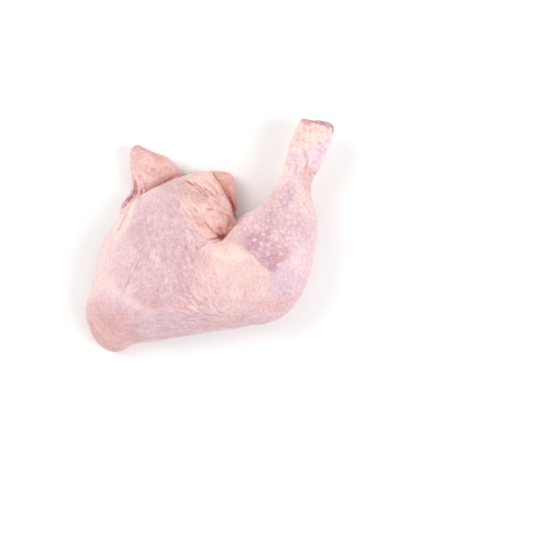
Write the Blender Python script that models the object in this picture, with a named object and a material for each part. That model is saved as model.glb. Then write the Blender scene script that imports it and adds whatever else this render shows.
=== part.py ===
"""Raw chicken leg quarter: thigh and drumstick under one skin, with the cut hock joint.

All sizes below are millimetres and turn into metres as each mesh is made.
+X runs across the leg, +Y towards the hock and +Z up. The leg lies on its flat
underside at z = 0, skin side up. A lump is modelled as a rounded mound over its plan
outline, the drumstick as a lofted skin; the two are fused, smoothed and creased.
"""
import math

import bmesh
import bpy
import numpy as np
from mathutils import Vector

MM = 0.001
GAP = 0.3                      # clearance between the hock joint and its socket
VOXEL = 1.25                   # grid on which the lumps are fused
SKIN_TRIANGLES = 10400         # target for the finished skin
SINK = 1.4                     # how far the lumps reach below the floor before the cut

# Plan outline of each lump: (x, y, z) of its widest line, anticlockwise from above.
THIGH_RIM = [
    (-18.0, 40.5, 18), (2.5, 43.0, 14), (12.5, 27.0, 15), (18.5, 11.0, 15), (20.0, -6.0, 14),
    (34.0, -28.0, 16), (42.0, -52.0, 15), (28.0, -64.0, 14), (4.0, -68.0, 14),
    (-24.0, -72.4, 13), (-48.0, -76.0, 10), (-70.0, -73.0, 9), (-83.8, -57.0, 12),
    (-82.2, -42.0, 14), (-76.4, -14.0, 14), (-71.0, 1.0, 12), (-64.8, 6.5, 10),
    (-59.5, 16.5, 10), (-50.5, 26.0, 13), (-34.0, 34.0, 17),
]
KNEE_RIM = [
    (57.0, -40.0, 19), (44.0, -54.5, 17), (22.0, -64.5, 14), (-4.0, -65.0, 14),
    (-24.0, -50.0, 22), (-18.0, -24.0, 27), (6.0, -13.0, 25), (34.0, -4.0, 23),
    (54.0, -6.0, 22), (63.0, -22.0, 20),
]
TAIL_RIM = [
    (-19.6, 39.5, 9), (-23.0, 48.2, 9), (-29.0, 54.2, 10), (-39.0, 57.8, 11),
    (-49.0, 63.0, 12), (-54.4, 60.0, 12), (-55.2, 53.0, 10), (-54.4, 43.0, 8),
    (-53.4, 33.0, 7), (-46.0, 26.0, 7),
]
GROIN_RIM = [
    (-16.0, 42.0, 9), (-4.0, 44.4, 9), (9.5, 45.0, 9), (17.6, 41.4, 9),
    (20.2, 27.0, 9), (18.0, 8.0, 9), (6.0, 4.0, 9), (-16.0, 24.0, 9),
]
HIP_RIM = [
    (-46.0, -73.0, 7), (-54.0, -78.4, 6), (-65.5, -83.4, 5), (-78.0, -76.8, 6),
    (-84.8, -64.0, 8), (-86.4, -50.0, 10), (-74.0, -34.0, 12), (-30.0, -48.0, 12),
]
FLESH_RIM = [
    (-51.6, 38.5, 5), (-54.2, 35.6, 5), (-54.2, 32.0, 5), (-58.2, 25.6, 5),
    (-61.8, 19.5, 5), (-62.8, 10.0, 5), (-57.0, 8.0, 5), (-46.0, 28.0, 5),
]
# Drumstick from knee to ankle: (x, y) of the axis, its height, half width, half height.
DRUMSTICK = [
    (23.6, -58.6, 16.5, 8.0, 6.0), (25.9, -54.8, 17.5, 16.4, 11.5),
    (28.4, -49.4, 18.6, 23.2, 15.5), (31.6, -41.7, 19.8, 28.2, 18.4),
    (35.8, -30.5, 20.8, 31.0, 20.4), (39.8, -20.0, 21.3, 31.9, 21.3),
    (44.8, -7.8, 21.5, 31.6, 21.6), (53.2, 6.4, 21.5, 24.4, 20.6),
    (57.3, 20.8, 21.5, 17.0, 17.0), (59.1, 29.8, 21.7, 12.8, 13.4),
    (61.9, 41.0, 22.2, 11.0, 11.0), (66.9, 52.0, 22.9, 12.7, 10.8),
    (70.6, 62.5, 23.5, 13.5, 10.9), (75.6, 74.3, 24.1, 12.2, 10.6),
    (76.4, 79.4, 24.3, 10.8, 10.4), (78.5, 86.1, 24.6, 10.0, 10.2),
]
DRUMSTICK_STATIONS = 44
DRUMSTICK_SIDES = 40

# Each mound: its name, plan outline, top height, the plan point under the top, and how
# full its dome and its underside are, from 1 for round to 0 for boxy.
MOUNDS = [
    ("thigh", THIGH_RIM, 38.5, (-34.0, -18.0), 0.95, 0.85),
    ("knee", KNEE_RIM, 38.5, (30.0, -30.0), 0.95, 0.85),
    ("tail_flap", TAIL_RIM, 17.0, (-42.0, 46.0), 0.8, 0.75),
    ("groin_flap", GROIN_RIM, 14.5, (4.0, 26.0), 0.95, 0.75),
    ("hip_lip", HIP_RIM, 31.0, (-54.0, -48.0), 1.35, 0.75),
    ("flesh_edge", FLESH_RIM, 10.0, (-57.0, 22.0), 0.95, 0.75),
]
MOUND_SIDES = 64
MOUND_RINGS = 32
OUTLINE_SAMPLES = 240

# Creases and swellings: (plan path, half width, height); a crease has a negative height.
RELIEF = [
    ([(-61.5, 3.0), (-57.3, 15.6), (-51.7, 23.4), (-43.4, 28.4), (-31.5, 34.9), (-18.5, 40.4)], 3.6, -1.8),
    ([(2.5, 43.2), (8.9, 33.4), (14.2, 22.4), (18.5, 11.0)], 3.2, -1.8),
    ([(19.0, 11.0), (12.9, 2.4), (8.5, -3.0)], 4.6, -3.4),
    ([(9.0, -2.5), (2.0, -5.5), (-4.0, -14.0), (-7.0, -26.0)], 6.5, -1.4),
    ([(-20.0, 31.0), (-8.0, 21.0), (3.0, 8.0), (8.0, -1.0)], 4.0, -1.9),
    ([(-11.0, 37.0), (0.0, 27.0), (8.0, 14.0), (13.0, 4.0)], 3.6, 1.6),
    ([(-27.0, 22.0), (-15.0, 13.0), (-4.0, 3.0), (6.0, -3.0)], 4.0, 1.5),
    ([(53.5, 29.0), (59.5, 20.0), (62.0, 9.0)], 5.0, -1.0),
    ([(-53.0, 60.0), (-44.0, 54.0), (-33.0, 47.0)], 4.5, 1.3),
]
# Where the skin is drawn smoothly from lump to lump: plan discs as (x, y, radius).
DRAPES = [(4.0, -40.0, 44.0), (56.0, -34.0, 27.0), (-66.0, -58.0, 24.0)]
DRAPE_FADE = 16.0
DRAPE_STEPS = 36
EASE_STEPS = 2
CREASE_EASE_STEPS = 5
LAST_EASE_STEPS = 1
RELAX_FACTOR = 0.6             # how far one smoothing step moves a vertex
STROKE_SAMPLES = 16            # samples of a crease's path for each of its points
FLOOR_CUT_SIZE = 400.0

# Hock joint: a cartilage stub let into the cut end of the drumstick.
HOCK_CUT = (77.6, 76.6, 24.2)      # a point of the plane the shank is cut off at
HOCK_FACING = (0.222, 0.953, 0.208)
HOCK_CUT_SIZE = 60.0
HOCK_TIP = (80.0, 77.8, 25.7)
HOCK_DEPTH = 15.0
HOCK_HALF_WIDTH = 8.3
HOCK_HALF_HEIGHT = 7.0
HOCK_GROOVE = 0.13             # how deep the groove between the two condyles is, as a share
HOCK_SIDES = 28
HOCK_OVERRUN = 8.0             # how far the socket's cutter reaches out past the tip
# Length along the stub from its tip, and its share of the full section there.
HOCK_PROFILE = [(0.0, 0.38), (0.5, 0.66), (1.4, 0.86), (3.0, 0.98), (5.0, 1.0),
                (9.0, 0.9), (13.0, 0.78), (HOCK_DEPTH, 0.7)]

SKIN_COLOUR = (0.84, 0.56, 0.53, 1.0)
CARTILAGE_COLOUR = (0.46, 0.24, 0.33, 1.0)
SHARP_DEGREES = 50.0


def clear_scene():
    """Remove every object, so that the script can be run again."""
    for item in list(bpy.data.objects):
        bpy.data.objects.remove(item, do_unlink=True)


def material(name, colour, roughness):
    """Return a Principled material of one plain colour."""
    made = bpy.data.materials.new(name)
    made.use_nodes = True
    shader = made.node_tree.nodes["Principled BSDF"]
    shader.inputs["Base Color"].default_value = colour
    shader.inputs["Roughness"].default_value = roughness
    shader.inputs["Metallic"].default_value = 0.0
    made.diffuse_color = colour
    return made


def add_object(name, bm):
    """Link the bmesh as a new object of that name."""
    bmesh.ops.recalc_face_normals(bm, faces=bm.faces)
    mesh = bpy.data.meshes.new(name)
    bm.to_mesh(mesh)
    bm.free()
    made = bpy.data.objects.new(name, mesh)
    bpy.context.collection.objects.link(made)
    return made


def smooth_path(points, count, closed=False):
    """Read `count` evenly timed places off the Catmull-Rom curve through the points."""
    knots = np.array(points, dtype=float)
    total = len(knots) if closed else len(knots) - 1
    places = []
    for time in np.linspace(0.0, total, count, endpoint=not closed):
        span = min(int(time), total - 1)
        t = time - span
        picks = np.arange(span - 1, span + 3)
        picks = picks % len(knots) if closed else np.clip(picks, 0, len(knots) - 1)
        a, b, c, d = knots[picks]
        places.append(0.5 * (2 * b + (c - a) * t + (2 * a - 5 * b + 4 * c - d) * t ** 2
                             + (3 * b - a - 3 * c + d) * t ** 3))
    return np.array(places)


def mound(name, rim, top, peak, upper, lower):
    """Model a closed lump: a sphere moulded to its plan outline."""
    outline = smooth_path(rim, OUTLINE_SAMPLES, closed=True)
    middle = outline.mean(axis=0)
    turn = np.arctan2(outline[:, 1] - middle[1], outline[:, 0] - middle[0])
    order = np.argsort(turn)
    turn, outline = turn[order], outline[order]
    bm = bmesh.new()
    bmesh.ops.create_uvsphere(bm, u_segments=MOUND_SIDES, v_segments=MOUND_RINGS, radius=1.0)
    for vert in bm.verts:
        around = math.atan2(vert.co.y, vert.co.x)
        edge = [np.interp(around, turn, outline[:, axis], period=2 * math.pi) for axis in range(3)]
        rise = max(-1.0, min(1.0, vert.co.z))
        spread = math.sqrt(max(0.0, 1.0 - rise * rise))
        full = upper if rise > 0 else lower
        reach = spread ** full
        lift = abs(rise) ** full
        end = top if rise > 0 else -SINK
        centre = Vector(middle[:2]).lerp(Vector(peak), lift if rise > 0 else 0.0)
        plan = centre.lerp(Vector(edge[:2]), reach)
        vert.co = Vector((plan.x, plan.y, edge[2] + (end - edge[2]) * lift)) * MM
    return add_object(name, bm)


def loft(name, rings):
    """Model a closed skin through rings of points, with a flat face at either end."""
    bm = bmesh.new()
    loops = [[bm.verts.new(point * MM) for point in ring] for ring in rings]
    for loop, following in zip(loops, loops[1:]):
        edges = [bm.edges.get(pair) or bm.edges.new(pair)
                 for side in (loop, following) for pair in zip(side, side[1:] + side[:1])]
        bmesh.ops.bridge_loops(bm, edges=edges)
    bm.faces.new(loops[0])
    bm.faces.new(loops[-1])
    return add_object(name, bm)


def turns(count):
    """Return the angles of a ring of that many points."""
    return [2 * math.pi * step / count for step in range(count)]


def drumstick():
    """Loft the drumstick from the knee to the ankle through rings square to its axis."""
    stations = smooth_path(DRUMSTICK, DRUMSTICK_STATIONS)
    axis = stations[:, :3]
    ahead = np.gradient(axis, axis=0)
    rings = []
    for place, along, (half_width, half_height) in zip(axis, ahead, stations[:, 3:5]):
        forward = Vector(along).normalized()
        across = forward.cross(Vector((0.0, 0.0, 1.0))).normalized()
        rise = across.cross(forward)
        rings.append([Vector(place) + across * math.cos(angle) * half_width
                      + rise * math.sin(angle) * half_height
                      for angle in turns(DRUMSTICK_SIDES)])
    return loft("drumstick", rings)


def fuse(name, lumps):
    """Join the lumps into one mesh and remesh it, which fuses them into one skin."""
    bm = bmesh.new()
    for lump in lumps:
        bm.from_mesh(lump.data)
        bpy.data.objects.remove(lump, do_unlink=True)
    joined = add_object(name, bm)
    remesh = joined.modifiers.new("fuse", "REMESH")
    remesh.mode = "VOXEL"
    remesh.voxel_size = VOXEL * MM
    bake(joined)
    return joined


def bake(item):
    """Replace an object's mesh with the evaluated one and drop its modifiers."""
    graph = bpy.context.evaluated_depsgraph_get()
    graph.update()
    finished = bpy.data.meshes.new_from_object(item.evaluated_get(graph))
    item.modifiers.clear()
    item.data = finished


def vertex_places(mesh):
    """Return the mesh's vertex places as an array, in millimetres."""
    flat = np.empty(len(mesh.vertices) * 3)
    mesh.vertices.foreach_get("co", flat)
    return flat.reshape(-1, 3) / MM


def vertex_normals(mesh):
    """Return the mesh's vertex normals as an array."""
    flat = np.empty(len(mesh.vertices) * 3)
    mesh.vertex_normals.foreach_get("vector", flat)
    return flat.reshape(-1, 3)


def smooth(item, weights, steps):
    """Relax the mesh, each vertex by its weight."""
    group = item.vertex_groups.new(name="relax")
    for level in range(1, 11):
        chosen = np.nonzero(np.round(weights * 10) == level)[0]
        group.add(chosen.tolist(), level / 10, "REPLACE")
    relax = item.modifiers.new("relax", "SMOOTH")
    relax.factor = RELAX_FACTOR
    relax.iterations = steps
    relax.vertex_group = group.name
    bake(item)
    item.vertex_groups.clear()


def plan_distance(places, path):
    """Return each place's distance in plan from a smooth path."""
    line = smooth_path(path, STROKE_SAMPLES * len(path))
    nearest = np.full(len(places), np.inf)
    for start, end in zip(line, line[1:]):
        run = end - start
        share = ((places[:, :2] - start) @ run / (run @ run)).clip(0.0, 1.0)
        foot = start + share[:, None] * run
        nearest = np.minimum(nearest, np.hypot(*(places[:, :2] - foot).T))
    return nearest


def crease(item):
    """Press the creases into the upper side of the skin, raise its swellings and ease both."""
    places = vertex_places(item.data)
    normals = vertex_normals(item.data)
    upper = normals[:, 2].clip(0.0, 1.0)
    eased = np.zeros(len(places))
    for path, half_width, height in RELIEF:
        bell = np.exp(-(plan_distance(places, path) / half_width) ** 2)
        eased = np.maximum(eased, bell)
        places += normals * (bell * upper * height)[:, None]
    item.data.vertices.foreach_set("co", (places * MM).ravel())
    item.data.update()
    smooth(item, eased, CREASE_EASE_STEPS)


def slice_off(item, point, facing, size):
    """Cut off what lies beyond a plane, given by its point and the way it faces."""
    bm = bmesh.new()
    bmesh.ops.create_cube(bm, size=size * MM)
    slab = add_object("slice_cutter", bm)
    outward = Vector(facing).normalized()
    slab.rotation_euler = outward.to_track_quat("Z", "Y").to_euler()
    slab.location = (Vector(point) + outward * size / 2) * MM
    subtract(item, slab)


def subtract(item, cutter):
    """Cut one closed object out of another, and remove the cutter."""
    cut = item.modifiers.new("cut", "BOOLEAN")
    cut.operation = "DIFFERENCE"
    cut.object = cutter
    bake(item)
    bpy.data.objects.remove(cutter, do_unlink=True)


def hock_stub(name, margin, overrun):
    """Model the joint's stub, or its socket with a margin all round and an open mouth."""
    tip = Vector(HOCK_TIP)
    outward = Vector(HOCK_FACING).normalized()
    across = outward.cross(Vector((0.0, 0.0, 1.0))).normalized()
    rise = across.cross(outward)
    profile = [(-overrun, HOCK_PROFILE[4][1])] if overrun else list(HOCK_PROFILE[:4])
    profile += HOCK_PROFILE[4:]
    rings = []
    for number, (depth, share) in enumerate(profile):
        past = margin if number == len(profile) - 1 else 0.0
        ring = []
        for angle in turns(HOCK_SIDES):
            waist = 1.0 - HOCK_GROOVE * math.sin(angle) ** 2
            wide = math.cos(angle) * (HOCK_HALF_WIDTH * share * waist + margin)
            high = math.sin(angle) * (HOCK_HALF_HEIGHT * share * waist + margin)
            ring.append(tip - outward * (depth + past) + across * wide + rise * high)
        rings.append(ring)
    return loft(name, rings)


def thin_out(item, triangles):
    """Reduce the mesh to about that many triangles."""
    item.data.calc_loop_triangles()
    fewer = item.modifiers.new("fewer", "DECIMATE")
    fewer.ratio = triangles / len(item.data.loop_triangles)
    bake(item)


def leg_quarter():
    """Build the skin-covered thigh and drumstick as one solid."""
    lumps = [mound(*lump) for lump in MOUNDS]
    leg = fuse("leg_quarter", lumps + [drumstick()])
    places = vertex_places(leg.data)
    draped = np.zeros(len(places))
    for x, y, radius in DRAPES:
        inside = radius - np.hypot(places[:, 0] - x, places[:, 1] - y)
        draped = np.maximum(draped, (inside / DRAPE_FADE + 0.5).clip(0.0, 1.0))
    smooth(leg, draped, DRAPE_STEPS)
    everywhere = np.ones(len(places))
    smooth(leg, everywhere, EASE_STEPS)
    crease(leg)
    smooth(leg, everywhere, LAST_EASE_STEPS)
    thin_out(leg, SKIN_TRIANGLES)
    slice_off(leg, (0.0, 0.0, 0.0), (0.0, 0.0, -1.0), FLOOR_CUT_SIZE)
    slice_off(leg, HOCK_CUT, HOCK_FACING, HOCK_CUT_SIZE)
    subtract(leg, hock_stub("hock_socket", margin=GAP, overrun=HOCK_OVERRUN))
    return leg


def centre(items):
    """Shift the pieces so that the origin is under the middle of the whole, at its base."""
    places = np.concatenate([vertex_places(item.data) for item in items])
    low, high = places.min(axis=0), places.max(axis=0)
    middle = Vector(((low[0] + high[0]) / 2, (low[1] + high[1]) / 2, low[2]))
    for item in items:
        item.location = -middle * MM


def main():
    """Build the whole leg quarter."""
    clear_scene()
    leg = leg_quarter()
    joint = hock_stub("hock_joint", margin=0.0, overrun=0.0)
    centre([leg, joint])
    leg.data.materials.clear()
    leg.data.materials.append(material("raw_chicken_skin", SKIN_COLOUR, 0.42))
    joint.data.materials.append(material("hock_cartilage", CARTILAGE_COLOUR, 0.3))
    for item in (leg, joint):
        item.data.shade_smooth()
        item.data.set_sharp_from_angle(angle=math.radians(SHARP_DEGREES))


main()
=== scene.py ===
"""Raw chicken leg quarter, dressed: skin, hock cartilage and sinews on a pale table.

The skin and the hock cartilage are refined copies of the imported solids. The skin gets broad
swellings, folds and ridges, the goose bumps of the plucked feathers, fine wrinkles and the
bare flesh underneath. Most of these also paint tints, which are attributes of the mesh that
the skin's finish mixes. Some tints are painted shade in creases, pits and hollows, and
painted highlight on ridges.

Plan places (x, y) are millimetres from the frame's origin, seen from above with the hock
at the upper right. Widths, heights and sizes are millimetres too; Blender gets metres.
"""

import logging
import math
from dataclasses import dataclass, field
from enum import Enum

import bmesh
import bpy
import numpy as np
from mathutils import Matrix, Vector, kdtree, noise
from mathutils.bvhtree import BVHTree


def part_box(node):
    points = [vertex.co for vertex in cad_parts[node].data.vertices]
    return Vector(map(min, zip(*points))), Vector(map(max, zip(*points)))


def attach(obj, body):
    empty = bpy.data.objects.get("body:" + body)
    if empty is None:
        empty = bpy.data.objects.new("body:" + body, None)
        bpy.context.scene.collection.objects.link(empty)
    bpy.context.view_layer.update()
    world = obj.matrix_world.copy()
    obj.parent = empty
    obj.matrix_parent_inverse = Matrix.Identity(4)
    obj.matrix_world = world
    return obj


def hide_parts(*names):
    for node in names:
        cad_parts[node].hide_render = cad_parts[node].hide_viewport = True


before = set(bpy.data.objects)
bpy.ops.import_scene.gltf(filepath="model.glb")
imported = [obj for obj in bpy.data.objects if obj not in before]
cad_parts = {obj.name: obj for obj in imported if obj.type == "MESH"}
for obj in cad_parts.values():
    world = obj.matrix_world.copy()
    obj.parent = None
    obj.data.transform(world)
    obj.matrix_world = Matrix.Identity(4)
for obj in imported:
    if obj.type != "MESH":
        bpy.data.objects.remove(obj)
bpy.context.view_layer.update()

LOG = logging.getLogger("leg_quarter")
MM = 0.001
BODY = "root"

# How many places are read off a smooth curve for each point that it goes through.
STROKE_PLACES = 8
OUTLINE_PLACES = 12

# How many of its widths a stroke reaches, and how many a step's flanks do.
STROKE_REACH = 4.5
STEP_REACH = 3.0

# Length of a round mark's path.
DOT_LENGTH = 0.1

# How far apart the seeds of the patches' ragged edges are.
PATCH_SEEDS = 3.7

# The guides of the skin's direction blend within this distance of each other.
FLOW_BLEND = 2.0

SQUARE_CENTIMETRE = 100.0

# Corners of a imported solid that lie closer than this, in metres, are one.
WELD = 1e-6

Path = tuple[tuple[float, float], ...]
Colour = tuple[float, float, float, float]


class Tint(Enum):
    """The tints that are painted on the skin, by the name of their mesh attribute."""

    FAT = "fat"
    MUSCLE = "muscle"
    DUSK = "dusk"
    ROSE = "rose"
    TAN = "tan"
    BLUE = "blue"
    SHADE = "shade"
    CREAM = "cream"
    PEACH = "peach"
    LILAC = "lilac"
    PALE = "pale"
    PEARL = "pearl"
    MEAT = "meat"
    # Dark orange of folds, with painted shade in creases, pits and on the cartilage's shaded side.
    FOLD_SHADE = "fold"
    PORE = "pore"
    FLESH = "flesh"


class Profile(Enum):
    """How the skin's height runs across a stroke."""

    BELL = "bell"
    STEP = "step"


@dataclass(frozen=True)
class Stroke:
    """A line drawn on the upper side of the skin.

    Attributes:
        path: plan places that a smooth curve joins.
        width: distance from the curve at which its mark has faded to about a third.
        height: how far the skin rises; a groove's is negative. On a step the left side
            of the path rises and the right side sinks by this much.
        tint: what the stroke is painted with, if anything.
        strength: how strong the paint is, from 0 to 1.
        taper: how much the stroke fades at its ends, from 0 for not at all to 1.
        spread: how much wider the paint is than the relief.
        profile: how the height runs across the stroke.
    """

    path: Path
    width: float
    height: float
    tint: Tint | None = None
    strength: float = 0.0
    taper: float = 1.0
    spread: float = 1.0
    profile: Profile = Profile.BELL


@dataclass(frozen=True)
class Patch:
    """An area of the skin with a tint of its own.

    Attributes:
        outline: plan places of its smooth outline.
        fade: how wide its soft edge is.
        tint: what it is painted with.
        strength: how strong the paint is, from 0 to 1.
        ragged: how far its edge wanders.
    """

    outline: Path
    fade: float
    tint: Tint
    strength: float
    ragged: float = 2.0


@dataclass(frozen=True)
class Wrinkling:
    """Fine wrinkles that follow the direction in which the skin is drawn.

    Attributes:
        outline: plan outline of their area.
        fade: how softly the area ends.
        density: how many there are on a square centimetre.
        length: half the length of the shortest and of the longest.
        width: half the width of the narrowest and of the widest.
        height: depth of the deepest groove and height of the highest ridge.
        seed: seed of the random draws.
        tints: what a groove may be painted with.
        strength: how strong that paint is.
        stray: how far, in degrees, a wrinkle strays from the skin's direction.
        bend: how far a wrinkle bends.
        levels: strength of the faintest wrinkle and of the clearest.
        grooves: share of the wrinkles that are grooves; the others are ridges.
    """

    outline: Path
    fade: float
    density: float
    length: tuple[float, float]
    width: tuple[float, float]
    height: tuple[float, float]
    seed: int
    tints: tuple[Tint, ...]
    strength: float
    stray: float = 14.0
    bend: float = 0.05
    levels: tuple[float, float] = (0.35, 1.0)
    grooves: float = 0.6


@dataclass(frozen=True)
class GooseBumps:
    """Bumps where the feathers sat, as far apart as the skin there has them.

    Attributes:
        outline: plan outline of the area.
        fade: how softly the area ends.
        spacing: least distance between two bumps.
        radius: radius of a bump.
        height: height of a bump.
        strength: how much paler a bump is than the skin round it.
        valley: how much rosier the skin between the bumps is.
        seed: seed of the random draws.
        shun: how far the bumps keep off the muscle that shows through.
        sizes: size of the smallest bump and of the largest.
        shows: how clearly the faintest bump shows, and the clearest.
        sink: share of its height by which the skin between the bumps sinks.
    """

    outline: Path
    fade: float
    spacing: float
    radius: float
    height: float
    strength: float
    valley: float
    seed: int
    shun: float = 0.0
    sizes: tuple[float, float] = (0.7, 1.3)
    shows: tuple[float, float] = (0.1, 1.0)
    sink: float = 0.25


def crease(path: Path, width: float, depth: float, strength: float, taper: float = 1.0,
           spread: float = 1.0) -> Stroke:
    """Make a groove with the dark orange of a fold and painted shade in it; the values are those of a
    stroke.
    """
    return Stroke(path, width, -depth, Tint.FOLD_SHADE, strength, taper, spread)


def ridge(path: Path, width: float, height: float, strength: float, taper: float = 1.0) -> Stroke:
    """Make a ridge with pale skin and painted highlight on it; the values are those of a stroke."""
    return Stroke(path, width, height, Tint.PALE, strength, taper)


def dot(x: float, y: float, radius: float, tint: Tint, strength: float, height: float = 0.0) -> Stroke:
    """Make a round mark at a plan place; the values are those of a stroke."""
    return Stroke(((x, y), (x + DOT_LENGTH, y)), radius, height, tint, strength, taper=0.0)


# The direction in which the skin is drawn: plan place, and degrees from the right.
FLOW = (
    (-72, -10, 72), (-78, -50, 95), (-72, -66, 125), (-60, -76, 160), (-45, -68, 8), (-25, -60, 0),
    (-5, -60, 2), (18, -56, 6), (38, -54, 20), (60, -38, 48), (74, -12, 75), (72, 20, 88),
    (-40, -40, 60), (-50, -18, 62), (-36, 0, 88), (-42, 22, 66), (-22, 22, 92), (-28, -22, 92),
    (-16, -8, 102), (-12, -28, 124), (-8, -46, 130), (8, -42, 110), (22, -20, 94), (24, -40, 92),
    (4, -16, 100), (-12, 10, 136), (-10, 36, 148), (0, 42, 125), (4, 20, 142), (10, 28, 122),
    (14, 12, 115), (4, 2, 155), (4, -6, 35), (50, -20, 60), (50, 10, 66), (64, 40, 80), (72, 70, 84),
    (-40, 46, 150), (-46, 56, 110), (-28, 46, 140), (20, 32, 110),
)

TAIL_FOLDS = (
    # The crease between the tail and the thigh, with painted shade along it.
    crease(((-50, 27.5), (-46.5, 29.5), (-43.5, 32), (-38.5, 34.5), (-34, 36.5), (-28, 39.5),
            (-24.5, 41.3), (-22, 41.8), (-18.5, 41.3)), 0.6, 0.7, 0.52, taper=0.4, spread=1.15),
    Stroke(((-42, 33.3), (-36.5, 35.6), (-31, 38.6), (-26, 40.8)), 1.2, 0.0, Tint.TAN, 0.5, taper=0.4),
    crease(((-36.5, 35.2), (-31, 38.2), (-26, 40.5), (-23.5, 41.3)), 0.5, 0.3, 0.5, taper=0.4),
    # Redder rim and blotches.
    Stroke(((-51, 61.5), (-49, 62), (-46.5, 61), (-42, 59), (-38, 56), (-34.5, 54.5)), 1.8, 0.0,
           Tint.MEAT, 0.24, taper=0.4),
    Stroke(((-48.5, 55.6), (-47.3, 56.5)), 1.5, -0.2, Tint.MEAT, 0.2, taper=0.0),
    Stroke(((-39.5, 46), (-38, 45.2)), 1.5, 0.0, Tint.MEAT, 0.18, taper=0.0),
    # The skin on both sides of the crease: painted tan shade on the tail's side, cream on the thigh's.
    Stroke(((-43, 34.5), (-38, 36.5), (-32.5, 39.5), (-27.5, 42), (-23, 44)), 2.0, 0.3, Tint.TAN, 0.6,
           taper=0.5),
    Stroke(((-47, 27.5), (-43, 29.5), (-38, 32), (-33, 34.2), (-27, 37.2), (-22, 39)), 1.4, 0.6,
           Tint.CREAM, 0.65),
    # Rosy folds of the rim and dents in the middle.
    Stroke(((-52.5, 62.5), (-46.5, 61.5), (-41, 59.5), (-35, 55.5), (-30, 53.5)), 2.2, 0.5, Tint.ROSE,
           0.9, taper=0.5),
    Stroke(((-53, 61.5), (-50, 60), (-48.5, 55.5)), 2.2, 0.3, Tint.ROSE, 0.7),
    Stroke(((-40.5, 46.5), (-38.5, 45.5), (-36.5, 45)), 2.0, -0.4, Tint.ROSE, 0.7),
    Stroke(((-45, 49.5), (-43, 48), (-41, 48.5)), 1.6, -0.3, Tint.ROSE, 0.6),
    Stroke(((-49, 42), (-48.3, 41)), 1.4, -0.3, Tint.ROSE, 0.6, taper=0.0),
    # Pale, brown and lilac streaks.
    ridge(((-50, 53), (-47.5, 51), (-46, 53)), 2.2, 0.5, 0.6),
    ridge(((-43, 54.5), (-37, 51), (-31, 46.5)), 1.6, 0.5, 0.3),
    Stroke(((-46, 47), (-41, 43), (-36, 40)), 1.4, -0.5, Tint.TAN, 0.35),
    Stroke(((-45, 40), (-42, 38), (-40, 38.5)), 2.0, 0.3, Tint.LILAC, 0.4),
    Stroke(((-28, 54.5), (-24.5, 51.5), (-22, 47.5), (-20, 43.5)), 1.6, -0.3, Tint.LILAC, 0.9,
           taper=0.4),
    # The ends of the crease and the lips of the torn edge.
    crease(((-23, 42.5), (-21.5, 42.8), (-20, 42.3)), 0.6, 0.6, 0.45),
    ridge(((-49.5, 40), (-48, 36), (-47, 31)), 1.3, 0.7, 0.8),
    Stroke(((-55.5, 57), (-54.5, 51.5), (-53, 46), (-52.5, 41)), 1.4, -0.5, Tint.CREAM, 0.6),
    crease(((-47.5, 30.5), (-44, 31), (-41, 33)), 0.8, 0.4, 0.5),
)

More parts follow.
